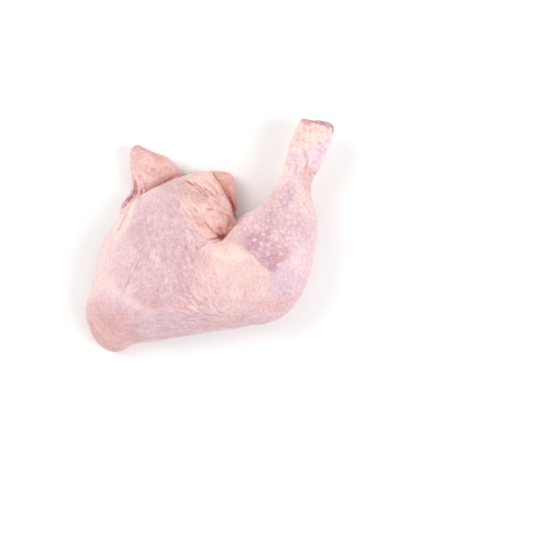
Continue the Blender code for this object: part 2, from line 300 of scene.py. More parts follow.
GROIN_FOLDS = (
    # The edge that hangs over the flap, with painted shade along its foot and on the flap below it.
    Stroke(((1.5, 45), (5, 39), (8, 34.8), (10.5, 30), (13.3, 25.5), (15.8, 20.5), (17.3, 15),
            (19, 10.5)), 1.0, -0.9, taper=0.2, profile=Profile.STEP),
    crease(((3, 45), (6.4, 38.9), (9.4, 34.7), (12.2, 29.9), (14.9, 25.6), (17.1, 20.8), (18.1, 15.2),
            (18.9, 11.6)), 0.65, 0.9, 0.9, taper=0.3, spread=1.3),
    crease(((12, 29.8), (14.7, 25.5), (16.9, 20.7), (17.7, 16)), 0.7, 0.8, 1.0),
    Stroke(((8, 38), (12, 31.5), (15.5, 25), (17.5, 19)), 2.4, 0.0, Tint.FOLD_SHADE, 0.25, taper=0.6),
    Stroke(((16.5, 31), (18, 24), (18.5, 17)), 1.8, 0.0, Tint.FOLD_SHADE, 0.34),
    Stroke(((3, 42), (7, 35), (10.5, 29), (14, 23), (15.8, 17)), 1.5, 0.5, Tint.ROSE, 0.4),
    # The crease between the groin and the drumstick, with painted shade beside it and in the notch at
    # its end, and painted highlight on the drumstick's edge.
    crease(((9, -2.5), (12, 0.7), (16, 5.2), (19, 8.2)), 0.7, 1.1, 0.9, taper=0.4, spread=1.3),
    Stroke(((18.5, 9.5), (21.5, 12), (24, 13.5)), 2.0, -0.6, Tint.SHADE, 0.9, taper=0.3),
    ridge(((10.5, -3.5), (13.3, -0.4), (17.3, 4), (20.6, 7.3), (24.5, 10.6)), 1.3, 0.9, 0.8, taper=0.5),
    Stroke(((12, 2), (15, 6.3), (18, 9.5)), 1.6, -0.5, Tint.TAN, 0.6, taper=0.5),
    Stroke(((13.5, 10), (16, 7.8), (18.5, 9.5)), 1.8, 0.0, Tint.TAN, 0.7, taper=0.5),
    # The deep pit and the creases that run into it, darkened with painted shade.
    crease(((8, 0), (9.6, -0.6), (10.6, 0.6)), 0.75, 3.0, 1.0, taper=0.0, spread=1.5),
    crease(((7, 0.8), (9, 0), (11, 1)), 1.8, 0.4, 0.5, taper=0.2),
    crease(((8.5, -1), (5, -1.6), (2, -2.5)), 0.7, 1.1, 0.85, taper=0.6),
    Stroke(((9, -2), (7, -3), (4, -4.5)), 0.7, -0.7, Tint.ROSE, 0.5, taper=0.6),
    crease(((8, 0.8), (5.5, 1.5), (3.3, 3.2), (1, 6), (-2, 9.5)), 0.5, 0.9, 0.6, taper=0.7),
    crease(((7.5, 0.5), (6, 2), (4.5, 3.7)), 0.5, 0.8, 0.5, taper=0.7),
    crease(((9.3, 0.5), (9, 3), (8, 5.2), (7, 7.5)), 0.6, 0.4, 0.4, taper=0.7),
    crease(((11, 1), (12.5, 3.5), (14, 7), (15, 10)), 0.7, 0.4, 0.4, taper=0.6),
    # Pale ropes above the pit.
    ridge(((6, 5), (5.5, 8), (4, 11)), 0.9, 0.6, 0.5),
    ridge(((10.6, 3), (11, 7), (10.5, 10)), 1.0, 0.6, 0.45),
    ridge(((8, 15), (9, 11), (9, 6)), 1.1, 0.6, 0.35),
    ridge(((-1, 14.5), (2.5, 9.5), (5, 4)), 1.3, 0.6, 0.45),
    # Grooves and ridges of the upper groin.
    crease(((-16.5, 38.5), (-13.5, 37), (-10.5, 35), (-8.5, 35.7)), 0.6, 1.0, 0.85),
    ridge(((-14, 39.5), (-9.5, 38), (-4, 34.5)), 1.2, 0.7, 0.6),
    crease(((-10.5, 37.5), (-7, 34.7), (-4.5, 32.3), (-1.5, 29.8), (0.5, 28.8)), 0.6, 1.0, 0.55),
    crease(((-3, 32.8), (1, 30.5), (4, 27.5), (6, 26)), 0.65, 1.1, 0.75),
    crease(((-7, 32.5), (-4.5, 30), (-1.5, 27.5), (1, 26)), 0.6, 0.9, 0.5),
    ridge(((-6, 36), (-2.5, 33.8), (1.5, 32), (5, 28.8)), 0.8, 0.8, 0.6),
    ridge(((-5.5, 29.5), (-2, 28.6), (2.5, 25.5), (6, 23.5)), 0.8, 0.8, 0.6),
    Stroke(((0, 38), (4, 33), (7.5, 27)), 0.7, -0.5, Tint.TAN, 0.6),
    Stroke(((-4, 40), (0, 36), (3, 32)), 0.6, -0.5, Tint.TAN, 0.6),
    Stroke(((3, 39), (6.5, 34), (9.5, 28.5)), 0.6, -0.4, Tint.TAN, 0.5),
    crease(((1, 26), (4.5, 23.7), (9, 21), (12.5, 17.5)), 0.6, 0.7, 0.4),
    crease(((-9.5, 34), (-6.5, 31.5), (-4, 28.5)), 0.5, 0.7, 0.5),
    ridge(((-8.5, 35), (-5.5, 32.5), (-3, 29.5)), 0.5, 0.6, 0.6),
    ridge(((0, 28), (3.5, 26), (7, 23.3)), 0.6, 0.7, 0.6),
    # Hollows in the middle with painted shade in them, and the rope that crosses below them.
    Stroke(((-1.5, 24), (0.5, 21.3), (3, 20.2), (4.5, 21.5)), 0.8, -0.9, Tint.DUSK, 0.9),
    crease(((-1.5, 18.5), (2, 17.9), (4, 18.6)), 0.6, 1.0, 0.6),
    ridge(((0.5, 23.5), (4.5, 20.2), (8, 18), (12, 16), (16, 12.5), (18.3, 10.8)), 0.8, 1.1, 0.95,
          taper=0.6),
    Stroke(((5, 18.3), (8.5, 16.2), (12, 14.3), (15, 11.5)), 0.65, -0.8, Tint.ROSE, 0.6),
    Stroke(((7, 15), (9.7, 12.7), (12, 11.4)), 0.6, -0.8, Tint.ROSE, 0.9),
    # Soft hollows with painted shade in them, and a swelling on the left.
    Stroke(((-10.5, 30), (-7, 26.5), (-3.5, 24.5), (-1, 27.5)), 2.6, -1.2, Tint.DUSK, 0.95),
    Stroke(((-14, 23.5), (-8, 22.5), (-3.5, 20)), 1.7, 0.7, Tint.PEACH, 0.6),
    Stroke(((-16, 30), (-11, 33), (-8, 32)), 1.5, -0.5, Tint.DUSK, 0.5),
    # Short creases towards the thigh.
    Stroke(((-12, 16), (-8.5, 13), (-5, 10.5)), 0.7, -0.5, Tint.ROSE, 0.35),
    Stroke(((-10, 13), (-8, 12.3), (-6.5, 12)), 1.2, -0.2, Tint.TAN, 0.6),
    Stroke(((-8.5, 8.8), (-5, 8), (-1, 7.5)), 0.65, -0.7, Tint.ROSE, 0.95, spread=1.2),
    # The flap's lilac rim.
    Stroke(((13.5, 44.5), (16.2, 41), (18.3, 34.5), (19.3, 27), (19.7, 20), (18.8, 14.5)), 1.3, 0.0,
           Tint.LILAC, 0.9, taper=0.4),
)

THIGH_FOLDS = (
    # The drawn edge below the tail.
    Stroke(((-46.5, 28), (-51.5, 25.5), (-54.5, 22), (-56.5, 18), (-59, 12), (-61.5, 5.5), (-63.5, 2)),
           0.7, -0.9, Tint.ROSE, 0.9),
    Stroke(((-55.5, 17), (-57.3, 12.5), (-59, 8)), 0.6, -0.4, Tint.ROSE, 0.8),
    ridge(((-54, 25.5), (-57, 20), (-60, 13), (-63, 6), (-66, -2)), 1.1, 0.6, 0.7),
    # A broad furrow, a crease and a pale arc on the left.
    Stroke(((-60, -22), (-54, -16), (-50, -8), (-49, 2)), 5.0, -0.5),
    Stroke(((-45.5, -15.5), (-47.5, -18.5), (-50, -23.5), (-53, -29), (-55.5, -33.5), (-57, -36)), 0.8,
           -0.6, Tint.DUSK, 0.9, taper=0.6),
    ridge(((-46.5, -15), (-49, -18.5), (-51.5, -23.5), (-54.5, -29), (-57, -33.5)), 0.8, 0.4, 0.5),
    ridge(((-55.5, -39), (-50.5, -38), (-45, -37), (-39.5, -34.5), (-34, -33.5), (-30, -33.5),
           (-26, -36.5)), 0.9, 0.6, 0.7),
    # Low rolls above the hip.
    Stroke(((-62, -34), (-54, -40), (-44, -46), (-34, -50)), 3.0, -0.5, Tint.DUSK, 0.3),
    ridge(((-60, -42), (-50, -48), (-38, -53), (-28, -54)), 2.6, 0.5, 0.3),
    # A short bright fold in the middle.
    ridge(((-13.5, -41), (-11.5, -43), (-9.5, -45.5), (-7, -49)), 0.9, 0.9, 1.0, taper=0.6),
    Stroke(((-15.2, -42), (-13.3, -44), (-11.5, -46.3)), 0.7, -0.8, Tint.ROSE, 0.9, taper=0.6),
    Stroke(((-10.8, -41.5), (-7.5, -45), (-5, -48)), 0.7, -0.7, Tint.ROSE, 0.8, taper=0.6),
    # Short creases in the middle of the thigh.
    Stroke(((-11, -23), (-10, -24.5), (-8.5, -26)), 0.6, -0.5, Tint.ROSE, 0.6),
    Stroke(((-17, -14), (-14.5, -19), (-12, -24), (-9, -28)), 0.8, -0.4, Tint.DUSK, 0.4),
    # Fine lines along the lower edge.
    Stroke(((-33.5, -52), (-27.5, -52)), 0.7, -0.35, Tint.DUSK, 0.5),
    Stroke(((-25, -58.3), (-20.5, -59), (-15.5, -58.3)), 0.7, -0.45, Tint.DUSK, 0.6),
    Stroke(((-28, -60.5), (-21, -61.5), (-13, -60.5)), 0.7, -0.45, Tint.DUSK, 0.6),
    Stroke(((-32, -63), (-25.5, -64), (-16, -63)), 0.7, -0.4, Tint.DUSK, 0.5),
    Stroke(((-53.5, -63), (-43.5, -60.5), (-32.5, -58.5)), 1.0, -0.4, Tint.DUSK, 0.5),
    ridge(((-55, -60.5), (-46, -58.2), (-38, -56.6)), 1.2, 0.4, 0.35),
    Stroke(((-40, -66), (-20, -66.5), (0, -62), (20, -58.5)), 2.0, -0.3, Tint.ROSE, 0.35),
    # Tan and lilac at the knee.
    Stroke(((18, -55.5), (21, -56.7), (24.5, -58)), 1.6, 0.0, Tint.TAN, 0.4),
    Stroke(((27, -56.5), (33, -58.5), (39, -59.5)), 1.8, -0.2, Tint.LILAC, 0.8),
    # Folds of the hip's end.
    Stroke(((-83, -58), (-81.5, -64), (-78, -70)), 1.0, 0.3, Tint.PEACH, 0.8),
    Stroke(((-81.5, -57), (-80, -63.5), (-76.5, -69.5), (-72, -74.5)), 0.7, -0.6, Tint.ROSE, 0.8),
    Stroke(((-76, -66), (-74, -71), (-70, -75)), 0.8, -0.5, Tint.ROSE, 0.5),
    Stroke(((-70, -57), (-67, -62), (-62, -66)), 2.0, -0.5, Tint.ROSE, 0.6),
)

DRUMSTICK_FOLDS = (
    # The groove and the vein along the drumstick.
    Stroke(((37, 5), (41, 13), (49, 20), (54.5, 27), (57.5, 35)), 2.6, -0.7, Tint.DUSK, 0.85),
    Stroke(((51, 16.5), (53, 20), (55.5, 25), (57, 29), (57, 34)), 1.4, -0.5, Tint.BLUE, 0.9),
    # The folds of the knee, and painted rosy shade along its lower right edge.
    ridge(((48.5, -35.5), (53.5, -38), (59.5, -37), (64, -33)), 0.9, 0.35, 0.6),
    ridge(((57, -39.5), (61, -38), (64, -35.5)), 0.9, 0.3, 0.5),
    Stroke(((49, -33.5), (49, -36.5), (52.5, -39.5), (57, -40.5)), 1.2, -0.5, Tint.ROSE, 0.7),
    Stroke(((70.5, -30), (66.5, -38), (60, -45), (54, -51)), 4.5, 0.0, Tint.ROSE, 0.6, taper=0.6),
    # The lower edge of the muscle.
    Stroke(((24, -7), (30, -12), (37, -19), (43, -24)), 1.0, -0.6, Tint.MUSCLE, 0.4),
    # The tendon and the vein at the front of the ankle.
    ridge(((60, 60), (63, 52), (64, 44)), 2.5, 0.5, 0.4),
    Stroke(((64.5, 60), (66, 57.5), (65.5, 54.5)), 1.0, -0.5, Tint.BLUE, 0.7, taper=0.5),
    Stroke(((65.5, 55), (67, 52), (68, 51), (67.5, 48), (66.5, 43)), 0.9, -0.6, Tint.DUSK, 0.8),
    # Blue veins on the pearly knob.
    Stroke(((76, 63.5), (78, 61.7), (80.5, 60)), 0.9, -0.5, Tint.BLUE, 0.75, taper=0.5),
    Stroke(((75, 59.5), (77, 58.3), (78.5, 57.3), (79.5, 58.8)), 0.9, -0.5, Tint.BLUE, 0.75, taper=0.5),
    Stroke(((76.5, 54), (76, 55.3), (77.3, 56.3)), 1.1, -0.4, Tint.BLUE, 0.9, taper=0.5),
    Stroke(((73, 61), (71, 57), (72.5, 53.5)), 1.3, 0.6, Tint.PEARL, 0.7, taper=0.6),
    # A wrinkle round a bead under the knob.
    Stroke(((70.5, 46), (71, 49.5), (74, 50.5), (76, 49), (75.5, 46.3)), 0.8, -0.5, Tint.ROSE, 0.5),
    ridge(((71.8, 47.5), (73.5, 48.3)), 1.2, 0.7, 0.8, taper=0.2),
    # Lines across the scutes and the ankle.
    Stroke(((58, 68), (62.5, 67.6), (66, 66.5)), 0.6, -0.4, Tint.TAN, 0.22),
    Stroke(((57.5, 65.5), (62.5, 65.2), (66, 64.5)), 0.6, -0.4, Tint.TAN, 0.22),
    Stroke(((57, 63.3), (62, 63.2), (65, 62.8)), 0.6, -0.4, Tint.TAN, 0.2),
    Stroke(((56.5, 61.3), (61.5, 61.2), (64, 61)), 0.6, -0.4, Tint.TAN, 0.2),
    Stroke(((57, 53.8), (61.5, 54), (64.5, 53.5)), 0.7, -0.5, Tint.ROSE, 0.3),
    Stroke(((56.5, 51.5), (61, 51.2), (64.5, 50.5)), 0.7, -0.5, Tint.ROSE, 0.3),
    # Short lines that run to the cut.
    Stroke(((66, 75), (65, 71.5), (66, 69)), 0.8, -0.4, Tint.ROSE, 0.3),
    Stroke(((69.5, 74.5), (69.5, 71), (70.5, 68)), 0.7, -0.4, Tint.TAN, 0.25),
    Stroke(((72.5, 76), (73, 72), (74.5, 69)), 0.7, -0.4, Tint.TAN, 0.25),
    Stroke(((75.5, 75.5), (76, 72), (77.5, 70)), 0.7, -0.4, Tint.TAN, 0.25),
    # Painted shade along the skin's edge at the cut.
    Stroke(((72.5, 81.5), (75, 78.3), (78, 76.2), (81.5, 73.5), (85, 71.8)), 1.0, -0.3, Tint.DUSK, 1.0,
           taper=0.3),
    # The fold below the knob.
    Stroke(((69.5, 44.5), (73.5, 43.3), (77, 45.5)), 1.0, -0.8, Tint.ROSE, 0.35),
    ridge(((70, 41.5), (73, 38.5), (77, 35)), 1.2, 0.5, 0.3),
)

# Follicles that show as single bright spots: plan place and radius.
FOLLICLES = tuple(dot(x, y, radius, Tint.PORE, 1.0, height=0.5) for x, y, radius in (
    (32, -3, 1.3), (36.5, -5.5, 1.2), (41, -6.5, 1.4), (41, -12.5, 1.3), (48, -7.5, 1.2),
    (43.5, -1, 1.1), (46.5, -2.5, 1.1), (37.5, 1, 1.0), (47.5, -20, 1.1), (49.5, -12.5, 1.0),
    (40.5, 5.5, 1.1), (27, 7.5, 1.0), (50, 3, 1.2), (54, -2, 1.1), (45, 9, 1.0), (29.5, 12, 1.0),
))

# Small marks: plan place, radius, tint and strength.
MARKS = tuple(dot(*mark) for mark in (
    (-13.5, -10, 0.9, Tint.FOLD_SHADE, 0.5), (-11.5, -6, 0.8, Tint.FOLD_SHADE, 0.4),
    (-10, -17, 0.8, Tint.FOLD_SHADE, 0.4), (-7.5, -22, 0.8, Tint.FOLD_SHADE, 0.35),
    (-4.5, -7.2, 0.6, Tint.FOLD_SHADE, 0.8), (-16, -49, 1.2, Tint.TAN, 0.7), (-3, -44, 1.2, Tint.TAN, 0.6),
    (-44.5, -34.5, 1.4, Tint.TAN, 0.5), (-41.5, -7, 1.4, Tint.TAN, 0.45),
    (-34.5, -23, 1.4, Tint.TAN, 0.45), (-51.5, 4, 1.4, Tint.TAN, 0.45),
    (-38, -47.5, 2.4, Tint.TAN, 0.4), (-34.5, -48, 2.0, Tint.TAN, 0.4), (27, -34, 0.5, Tint.DUSK, 0.9),
    (-66, -56, 3.0, Tint.ROSE, 0.8),
))

# Plan outlines of the leg's regions.
SHANK = ((52, 62), (64, 84), (90, 80), (86, 40), (70, 38), (56, 42))
GROIN = ((-18, 42), (0, 47), (16, 28), (20, 10), (10, -2), (0, 2), (-10, 10), (-18, 24))
CREAM_PATCH = ((7, -3.5), (14, -2.5), (20, -5.5), (26, -10), (33, -16.5), (40, -23), (42, -30),
               (36, -37), (26, -40), (14, -38), (5, -31), (0, -22), (1, -13), (4, -8))
KNEE = ((-4, -30), (20, -30), (44, -30), (56, -50), (40, -64), (10, -64), (-6, -50))
DRUMSTICK_SKIN = ((25, 13), (13, 1), (20, -5), (30, -14), (44, -24), (46, -38), (40, -56), (60, -62),
                  (84, -30), (82, 10), (72, 44), (56, 46), (40, 28))
THIGH = ((-48, 28), (-24, 40), (-14, 26), (-6, 4), (2, -20), (4, -60), (-60, -64), (-88, -50), (-74, 0))
THIGH_MIDDLE = ((-50, 8), (-40, 26), (-20, 32), (-8, 10), (0, -20), (0, -52), (-40, -50), (-54, -26))
HIP = ((-92, -48), (-66, -44), (-50, -56), (-48, -84), (-92, -84))
TAIL = ((-56, 66), (-18, 58), (-18, 43), (-34, 38), (-48, 30), (-58, 44))
CREASE_BAND = ((-52, 26), (-42, 30.5), (-30, 35.5), (-17, 40), (-17, 45.5), (-30, 43), (-41, 38),
               (-48, 36), (-50, 41), (-54, 39), (-63, 22), (-59, 17))
HOCK_RIM = ((62, 86), (90, 86), (90, 68), (82, 67), (74, 74), (62, 74))
HOLE = ((0, 2), (10, 5), (24, 14), (26, 10), (14, -4), (2, -5))
BOTTOM_RIM = ((-64, -54), (-20, -50), (30, -50), (60, -56), (40, -70), (-20, -76), (-64, -84))
FLAP = ((2, 48), (22, 46), (24, 20), (19, 9), (15, 24), (9, 35))
ANKLE_FRONT = ((53, 60), (50, 48), (50, 42), (60, 43), (67, 49), (67, 58))
LOWER_GROIN = ((4, 15), (10, 17), (16.5, 12.5), (17.5, 8), (12, 3), (5, 4))

# Where the skin's cells are halved.
FINE_AREAS = (GROIN, CREASE_BAND, HOCK_RIM, HOLE)

PATCHES = (
    # Fat and cream behind the knee, duskier and rosier below.
    Patch(((-4, -2), (14, 0), (30, -12), (48, -28), (44, -54), (10, -56), (-8, -40)), 16.0, Tint.FAT,
          0.4, 4.0),
    Patch(CREAM_PATCH, 9.0, Tint.FAT, 0.6, 3.0),
    Patch(((7, -4.5), (13, -3.5), (21, -7), (26, -12), (18, -18), (8, -17), (4, -10)), 6.0, Tint.CREAM,
          1.0),
    Patch(((8, -44), (24, -42), (37, -46), (30, -55), (12, -55)), 7.0, Tint.DUSK, 0.4, 3.0),
    Patch(((34, -44), (50, -42), (62, -38), (66, -40), (56, -54), (40, -57)), 6.0, Tint.ROSE, 0.55,
          3.0),
    # The muscle that shows through the drumstick's skin, and the pale skin round it.
    Patch(((22.5, -5.5), (24.5, 0.5), (29.5, 3), (36.5, 4), (40.5, 8), (44.5, 11), (46, 9), (45, 3),
           (46, -3), (50.5, -7), (53.5, -12), (52, -17.5), (48, -21), (45.5, -25.5), (40.5, -23.5),
           (34.5, -16.5), (26, -10.5)), 6.0, Tint.MUSCLE, 0.56, 2.5),
    Patch(((26, -2), (31, 1.5), (35, -3), (33.5, -10), (27.5, -9)), 4.0, Tint.MUSCLE, 0.8, 1.5),
    Patch(((38, -14), (45.5, -11.5), (48.5, -17), (46, -24), (40.5, -22), (36.5, -17)), 4.0,
          Tint.MUSCLE, 0.65, 1.5),
    Patch(((23, 9), (31, 19), (39, 26), (37, 18), (28, 8)), 4.0, Tint.PALE, 0.95),
    Patch(((55, -10), (63.5, -6.5), (70.5, -9.5), (71, -22), (65.5, -30), (58.5, -25), (53.5, -18.5)),
          6.0, Tint.PEARL, 0.5, 3.0),
    # Dusk on the thigh and the drumstick, lilac at the knee.
    Patch(((-42, 22), (-22, 26), (-12, 8), (-6, -22), (-14, -46), (-44, -46), (-54, -26), (-52, 0)),
          14.0, Tint.DUSK, 0.75, 8.0),
    Patch(((28, 10), (44, 22), (56, 30), (66, 14), (68, -6), (52, -14), (38, 0)), 8.0, Tint.DUSK, 0.44,
          5.0),
    Patch(((44, -22), (58, -20), (66, -32), (56, -46), (44, -40)), 8.0, Tint.LILAC, 0.95, 4.0),
    Patch(((56, 10), (70, 14), (74, -14), (62, -20)), 10.0, Tint.LILAC, 0.35, 4.0),
    # The groin.
    Patch(GROIN, 12.0, Tint.PEACH, 0.85, 5.0),
    Patch(((-36, 38), (-24, 41), (-14, 36), (-8, 28), (-16, 26), (-30, 31)), 6.0, Tint.SHADE, 0.75,
          3.0),
    Patch(((-12, 31), (-6, 30), (0, 27), (-3, 22), (-9, 25)), 3.5, Tint.SHADE, 0.7),
    Patch(((-18, 24), (-10, 24), (-3, 20), (-6, 14), (-16, 16)), 5.0, Tint.CREAM, 0.7),
    # The flap behind the groin.
    Patch(FLAP, 1.5, Tint.TAN, 0.6, 0.4),
    Patch(FLAP, 1.5, Tint.PEACH, 0.9, 0.4),
    Patch(((10, 38), (19, 40), (22, 30), (19, 9), (15, 24)), 6.0, Tint.TAN, 0.8, 0.4),
    # The groin's upper edge, and painted shade on the skin round the pit.
    Patch(((-12, 41), (-2, 44), (4, 39), (8, 32), (2, 33), (-6, 36)), 4.0, Tint.CREAM, 0.6),
    Patch(((-5, 9), (4, 10), (11, 8), (12, 1), (5, -2), (-3, 1)), 5.0, Tint.TAN, 0.15),
    # The two sides of the tail.
    Patch(((-35, 55.5), (-28, 53), (-23, 46.5), (-22, 42), (-30.5, 39.5), (-36, 41), (-38, 48)), 4.0,
          Tint.TAN, 0.38),
    Patch(((-57, 58), (-53.5, 53), (-52.5, 47), (-56, 46), (-59, 52)), 2.0, Tint.PALE, 0.6, 1.0),
    # Pale strips along the left of the thigh and the hip.
    Patch(((-66, 2), (-61, 15), (-54, 24), (-50, 21), (-55, 8), (-61, -2)), 4.0, Tint.CREAM, 0.8),
    Patch(((-88, -52), (-80, -46), (-76, -58), (-78, -68), (-88, -66)), 5.0, Tint.PALE, 0.95),
    # The tail and the hip as a whole.
    Patch(TAIL, 3.0, Tint.PEACH, 0.85),
    Patch(HIP, 10.0, Tint.TAN, 0.3, 4.0),
    Patch(((-90, -46), (-66, -46), (-56, -58), (-64, -84), (-92, -76)), 10.0, Tint.ROSE, 0.5, 5.0),
    Patch(((-74, -40), (-58, -42), (-56, -52), (-70, -54)), 6.0, Tint.LILAC, 0.45, 3.0),
    # The rounded lower edge of the thigh.
    Patch(((-50, -54), (-10, -52), (40, -54), (30, -70), (-30, -74), (-54, -70)), 6.0, Tint.DUSK, 0.45,
          3.0),
    # The shank: cream scutes, pale side, pearly knob and rosy corner.
    Patch(((61, 78), (56, 66), (56, 59), (60, 57.5), (68.5, 60), (77, 65.5), (81, 72.5), (75, 79),
           (69, 77)), 3.0, Tint.CREAM, 0.8, 1.5),
    Patch(((55, 60), (50, 44), (45, 29), (53, 36), (62, 46), (64, 58)), 4.0, Tint.PALE, 1.0),
    Patch(((52, 52), (49, 42), (46, 33), (51, 36), (57, 44), (58, 52)), 4.0, Tint.CREAM, 0.75),
    Patch(((78, 66), (82.5, 73), (90, 72), (88, 60), (83, 50), (70, 44), (67.5, 51), (68.5, 58),
           (74, 62.5)), 3.0, Tint.PEARL, 0.9, 1.5),
    Patch(((83, 73), (90, 73), (89, 66), (84, 67)), 1.6, Tint.CREAM, 0.8, 0.5),
    Patch(((64, 84), (70, 86), (74, 83), (73, 77.5), (69, 75), (65, 77)), 2.4, Tint.ROSE, 0.95, 1.0),
    Patch(((65, 84), (70, 85), (73, 82), (71.5, 77.5), (67, 77)), 2.4, Tint.TAN, 0.75, 1.0),
    # Painted rosy shade on the right of the ankle.
    Patch(((67, 48), (75, 46), (77, 36), (70, 30), (64, 38)), 5.0, Tint.ROSE, 0.35),
    Patch(((66, 46), (74, 45), (77, 36), (71, 31), (64, 37)), 4.0, Tint.TAN, 0.2),
    # The pale band down the thigh's left.
    Patch(((-76, 2), (-66, 8), (-64, -20), (-68, -46), (-86, -46), (-80, -20)), 9.0, Tint.PALE, 0.9,
          4.0),
    # The torn meat under the tail.
    Patch(((-52, 39.5), (-50.2, 37), (-49.8, 33), (-50.4, 30), (-53, 27), (-57.5, 23), (-60.5, 20),
           (-62, 21), (-58.5, 26), (-55, 29.5), (-53, 32.5), (-52.3, 36)), 0.9, Tint.MEAT, 1.0, 0.3),
    # The front of the ankle.
    Patch(ANKLE_FRONT, 4.0, Tint.PALE, 1.0, 1.5),
    Patch(ANKLE_FRONT, 4.0, Tint.PEARL, 0.5, 1.5),
    # The tail's rim.
    Patch(((-54, 66), (-46, 64), (-38, 60), (-31, 55), (-33, 52.5), (-41, 57), (-49, 59.5)), 2.5,
          Tint.ROSE, 0.45, 1.0),
    # Cooler tones along the lower thigh.
    Patch(((-52, -56), (-30, -52), (-8, -54), (2, -60), (-8, -66), (-34, -67), (-54, -64)), 6.0,
          Tint.BLUE, 0.28),
    Patch(((2, -56), (20, -54), (36, -52), (44, -55), (36, -60), (10, -64)), 5.0, Tint.PEARL, 0.3),
    Patch(((30, -56), (44, -54), (54, -50), (52, -55), (40, -60)), 4.0, Tint.LILAC, 0.5),
    # Painted shade low in the groin, and in the hollows in its middle.
    Patch(LOWER_GROIN, 4.0, Tint.TAN, 0.25),
    Patch(LOWER_GROIN, 4.0, Tint.DUSK, 0.35),
    Patch(((-4, 28), (3, 29), (9, 23), (6, 18), (-3, 20)), 4.0, Tint.DUSK, 0.4),
)

ROSY = (Tint.ROSE, Tint.DUSK)

# Each with its outline, fade, density, length, width, height, seed, tints, strength and stray.
WRINKLES = (
    Wrinkling(THIGH_MIDDLE, 6.0, 26, (1.6, 5.0), (0.45, 0.75), (0.24, 0.22), 31, ROSY, 0.32),
    Wrinkling(THIGH, 6.0, 7, (1.6, 4.0), (0.45, 0.7), (0.12, 0.1), 30, ROSY, 0.15),
    Wrinkling(((-16, 30), (0, 10), (8, -60), (-24, -56), (-20, -10)), 6.0, 20, (2.0, 6.0), (0.5, 0.8),
              (0.4, 0.34), 32, ROSY, 0.45),
    Wrinkling(GROIN, 3.0, 22, (1.4, 4.5), (0.3, 0.6), (0.34, 0.38), 33,
              (Tint.ROSE, Tint.TAN, Tint.ROSE), 0.36, 22.0),
    Wrinkling(CREAM_PATCH, 5.0, 16, (2.0, 6.0), (0.45, 0.7), (0.11, 0.09), 34,
              (Tint.ROSE, Tint.TAN), 0.12),
    Wrinkling(KNEE, 5.0, 16, (1.5, 4.0), (0.45, 0.75), (0.18, 0.16), 35, ROSY, 0.25),
    Wrinkling(BOTTOM_RIM, 5.0, 16, (4.0, 11.0), (0.45, 0.6), (0.26, 0.18), 36,
              (Tint.DUSK, Tint.ROSE), 0.35, 5.0),
    Wrinkling(HIP, 4.0, 10, (1.5, 4.0), (0.45, 0.7), (0.14, 0.12), 37, (Tint.ROSE, Tint.TAN), 0.22),
    Wrinkling(TAIL, 2.0, 22, (1.2, 3.5), (0.5, 0.8), (0.28, 0.25), 38,
              (Tint.ROSE, Tint.ROSE, Tint.TAN), 0.4, 40.0),
    Wrinkling(SHANK, 3.0, 20, (1.2, 3.4), (0.5, 1.0), (0.4, 0.45), 39, ROSY, 0.2, 60.0),
    Wrinkling(DRUMSTICK_SKIN, 4.0, 12, (1.0, 2.8), (0.45, 0.75), (0.26, 0.24), 40, ROSY, 0.25, 60.0),
)

# Each with its outline, fade, spacing, radius, height, strength, valley, seed and shun.
BUMPS = (
    GooseBumps(DRUMSTICK_SKIN, 5.0, 3.1, 1.1, 0.42, 0.95, 0.3, 21, 0.85),
    GooseBumps(((24, 3), (34, 6), (46, -2), (52, -15), (47.5, -27), (39.5, -22.5), (32, -15.5),
                (25, -9)), 4.0, 4.4, 1.0, 0.25, 0.5, 0.0, 23),
    GooseBumps(THIGH, 8.0, 2.6, 0.9, 0.08, 0.1, 0.08, 22),
    GooseBumps(KNEE, 6.0, 2.6, 0.95, 0.14, 0.25, 0.2, 24),
)


def smooth_path(points: Path, count: int, closed: bool = False) -> np.ndarray:
    """Read evenly timed places off the Catmull-Rom curve through the points.

    Args:
        points: plan places that the curve goes through.
        count: how many places to read.
        closed: whether the curve returns to its first point.

    Returns:
        The places, one in each row.
    """
    knots = np.array(points, dtype=float)
    total = len(knots) if closed else len(knots) - 1
    places = []
    for time in np.linspace(0.0, total, count, endpoint=not closed):
        span = min(int(time), total - 1)
        t = time - span
        picks = np.arange(span - 1, span + 3)
        picks = picks % len(knots) if closed else np.clip(picks, 0, len(knots) - 1)
        a, b, c, d = knots[picks]
        places.append(0.5 * (2 * b + (c - a) * t + (2 * a - 5 * b + 4 * c - d) * t ** 2
                             + (3 * b - a - 3 * c + d) * t ** 3))
    return np.array(places)


def closed_line(outline: Path) -> np.ndarray:
    """Read the smooth line round an outline, its first place repeated at its end."""
    line = smooth_path(outline, OUTLINE_PLACES * len(outline), closed=True)
    return np.vstack([line, line[:1]])


def ease(values: np.ndarray) -> np.ndarray:
    """Turn a straight ramp from 0 to 1 into one that starts and ends softly."""
    held = values.clip(0.0, 1.0)
    return held * held * (3.0 - 2.0 * held)


def grain(places: np.ndarray, size: float, seed: float) -> np.ndarray:
    """Read smooth random values, from about -1 to 1, at places in space.

    Args:
        places: the places, in millimetres.
        size: how far apart the values change.
        seed: shifts the pattern.

    Returns:
        One value for each place.
    """
    scaled = (places / size + seed).tolist()
    return np.array([noise.noise(place) for place in scaled])


def plant(places: np.ndarray) -> kdtree.KDTree:
    """Make a search tree.

    Args:
        places: the places that it can find.

    Returns:
        The tree.
    """
    tree = kdtree.KDTree(len(places))
    for number, place in enumerate(places.tolist()):
        tree.insert(place, number)
    tree.balance()
    return tree


def nearest(places: np.ndarray, sites: np.ndarray) -> tuple[np.ndarray, np.ndarray]:
    """Find each place's nearest site.

    Args:
        places: the places.
        sites: the sites.

    Returns:
        The distances, and the sites' numbers.
    """
    tree = plant(sites)
    found = [tree.find(place) for place in places.tolist()]
    return np.array([hit[2] for hit in found]), np.array([hit[1] for hit in found])


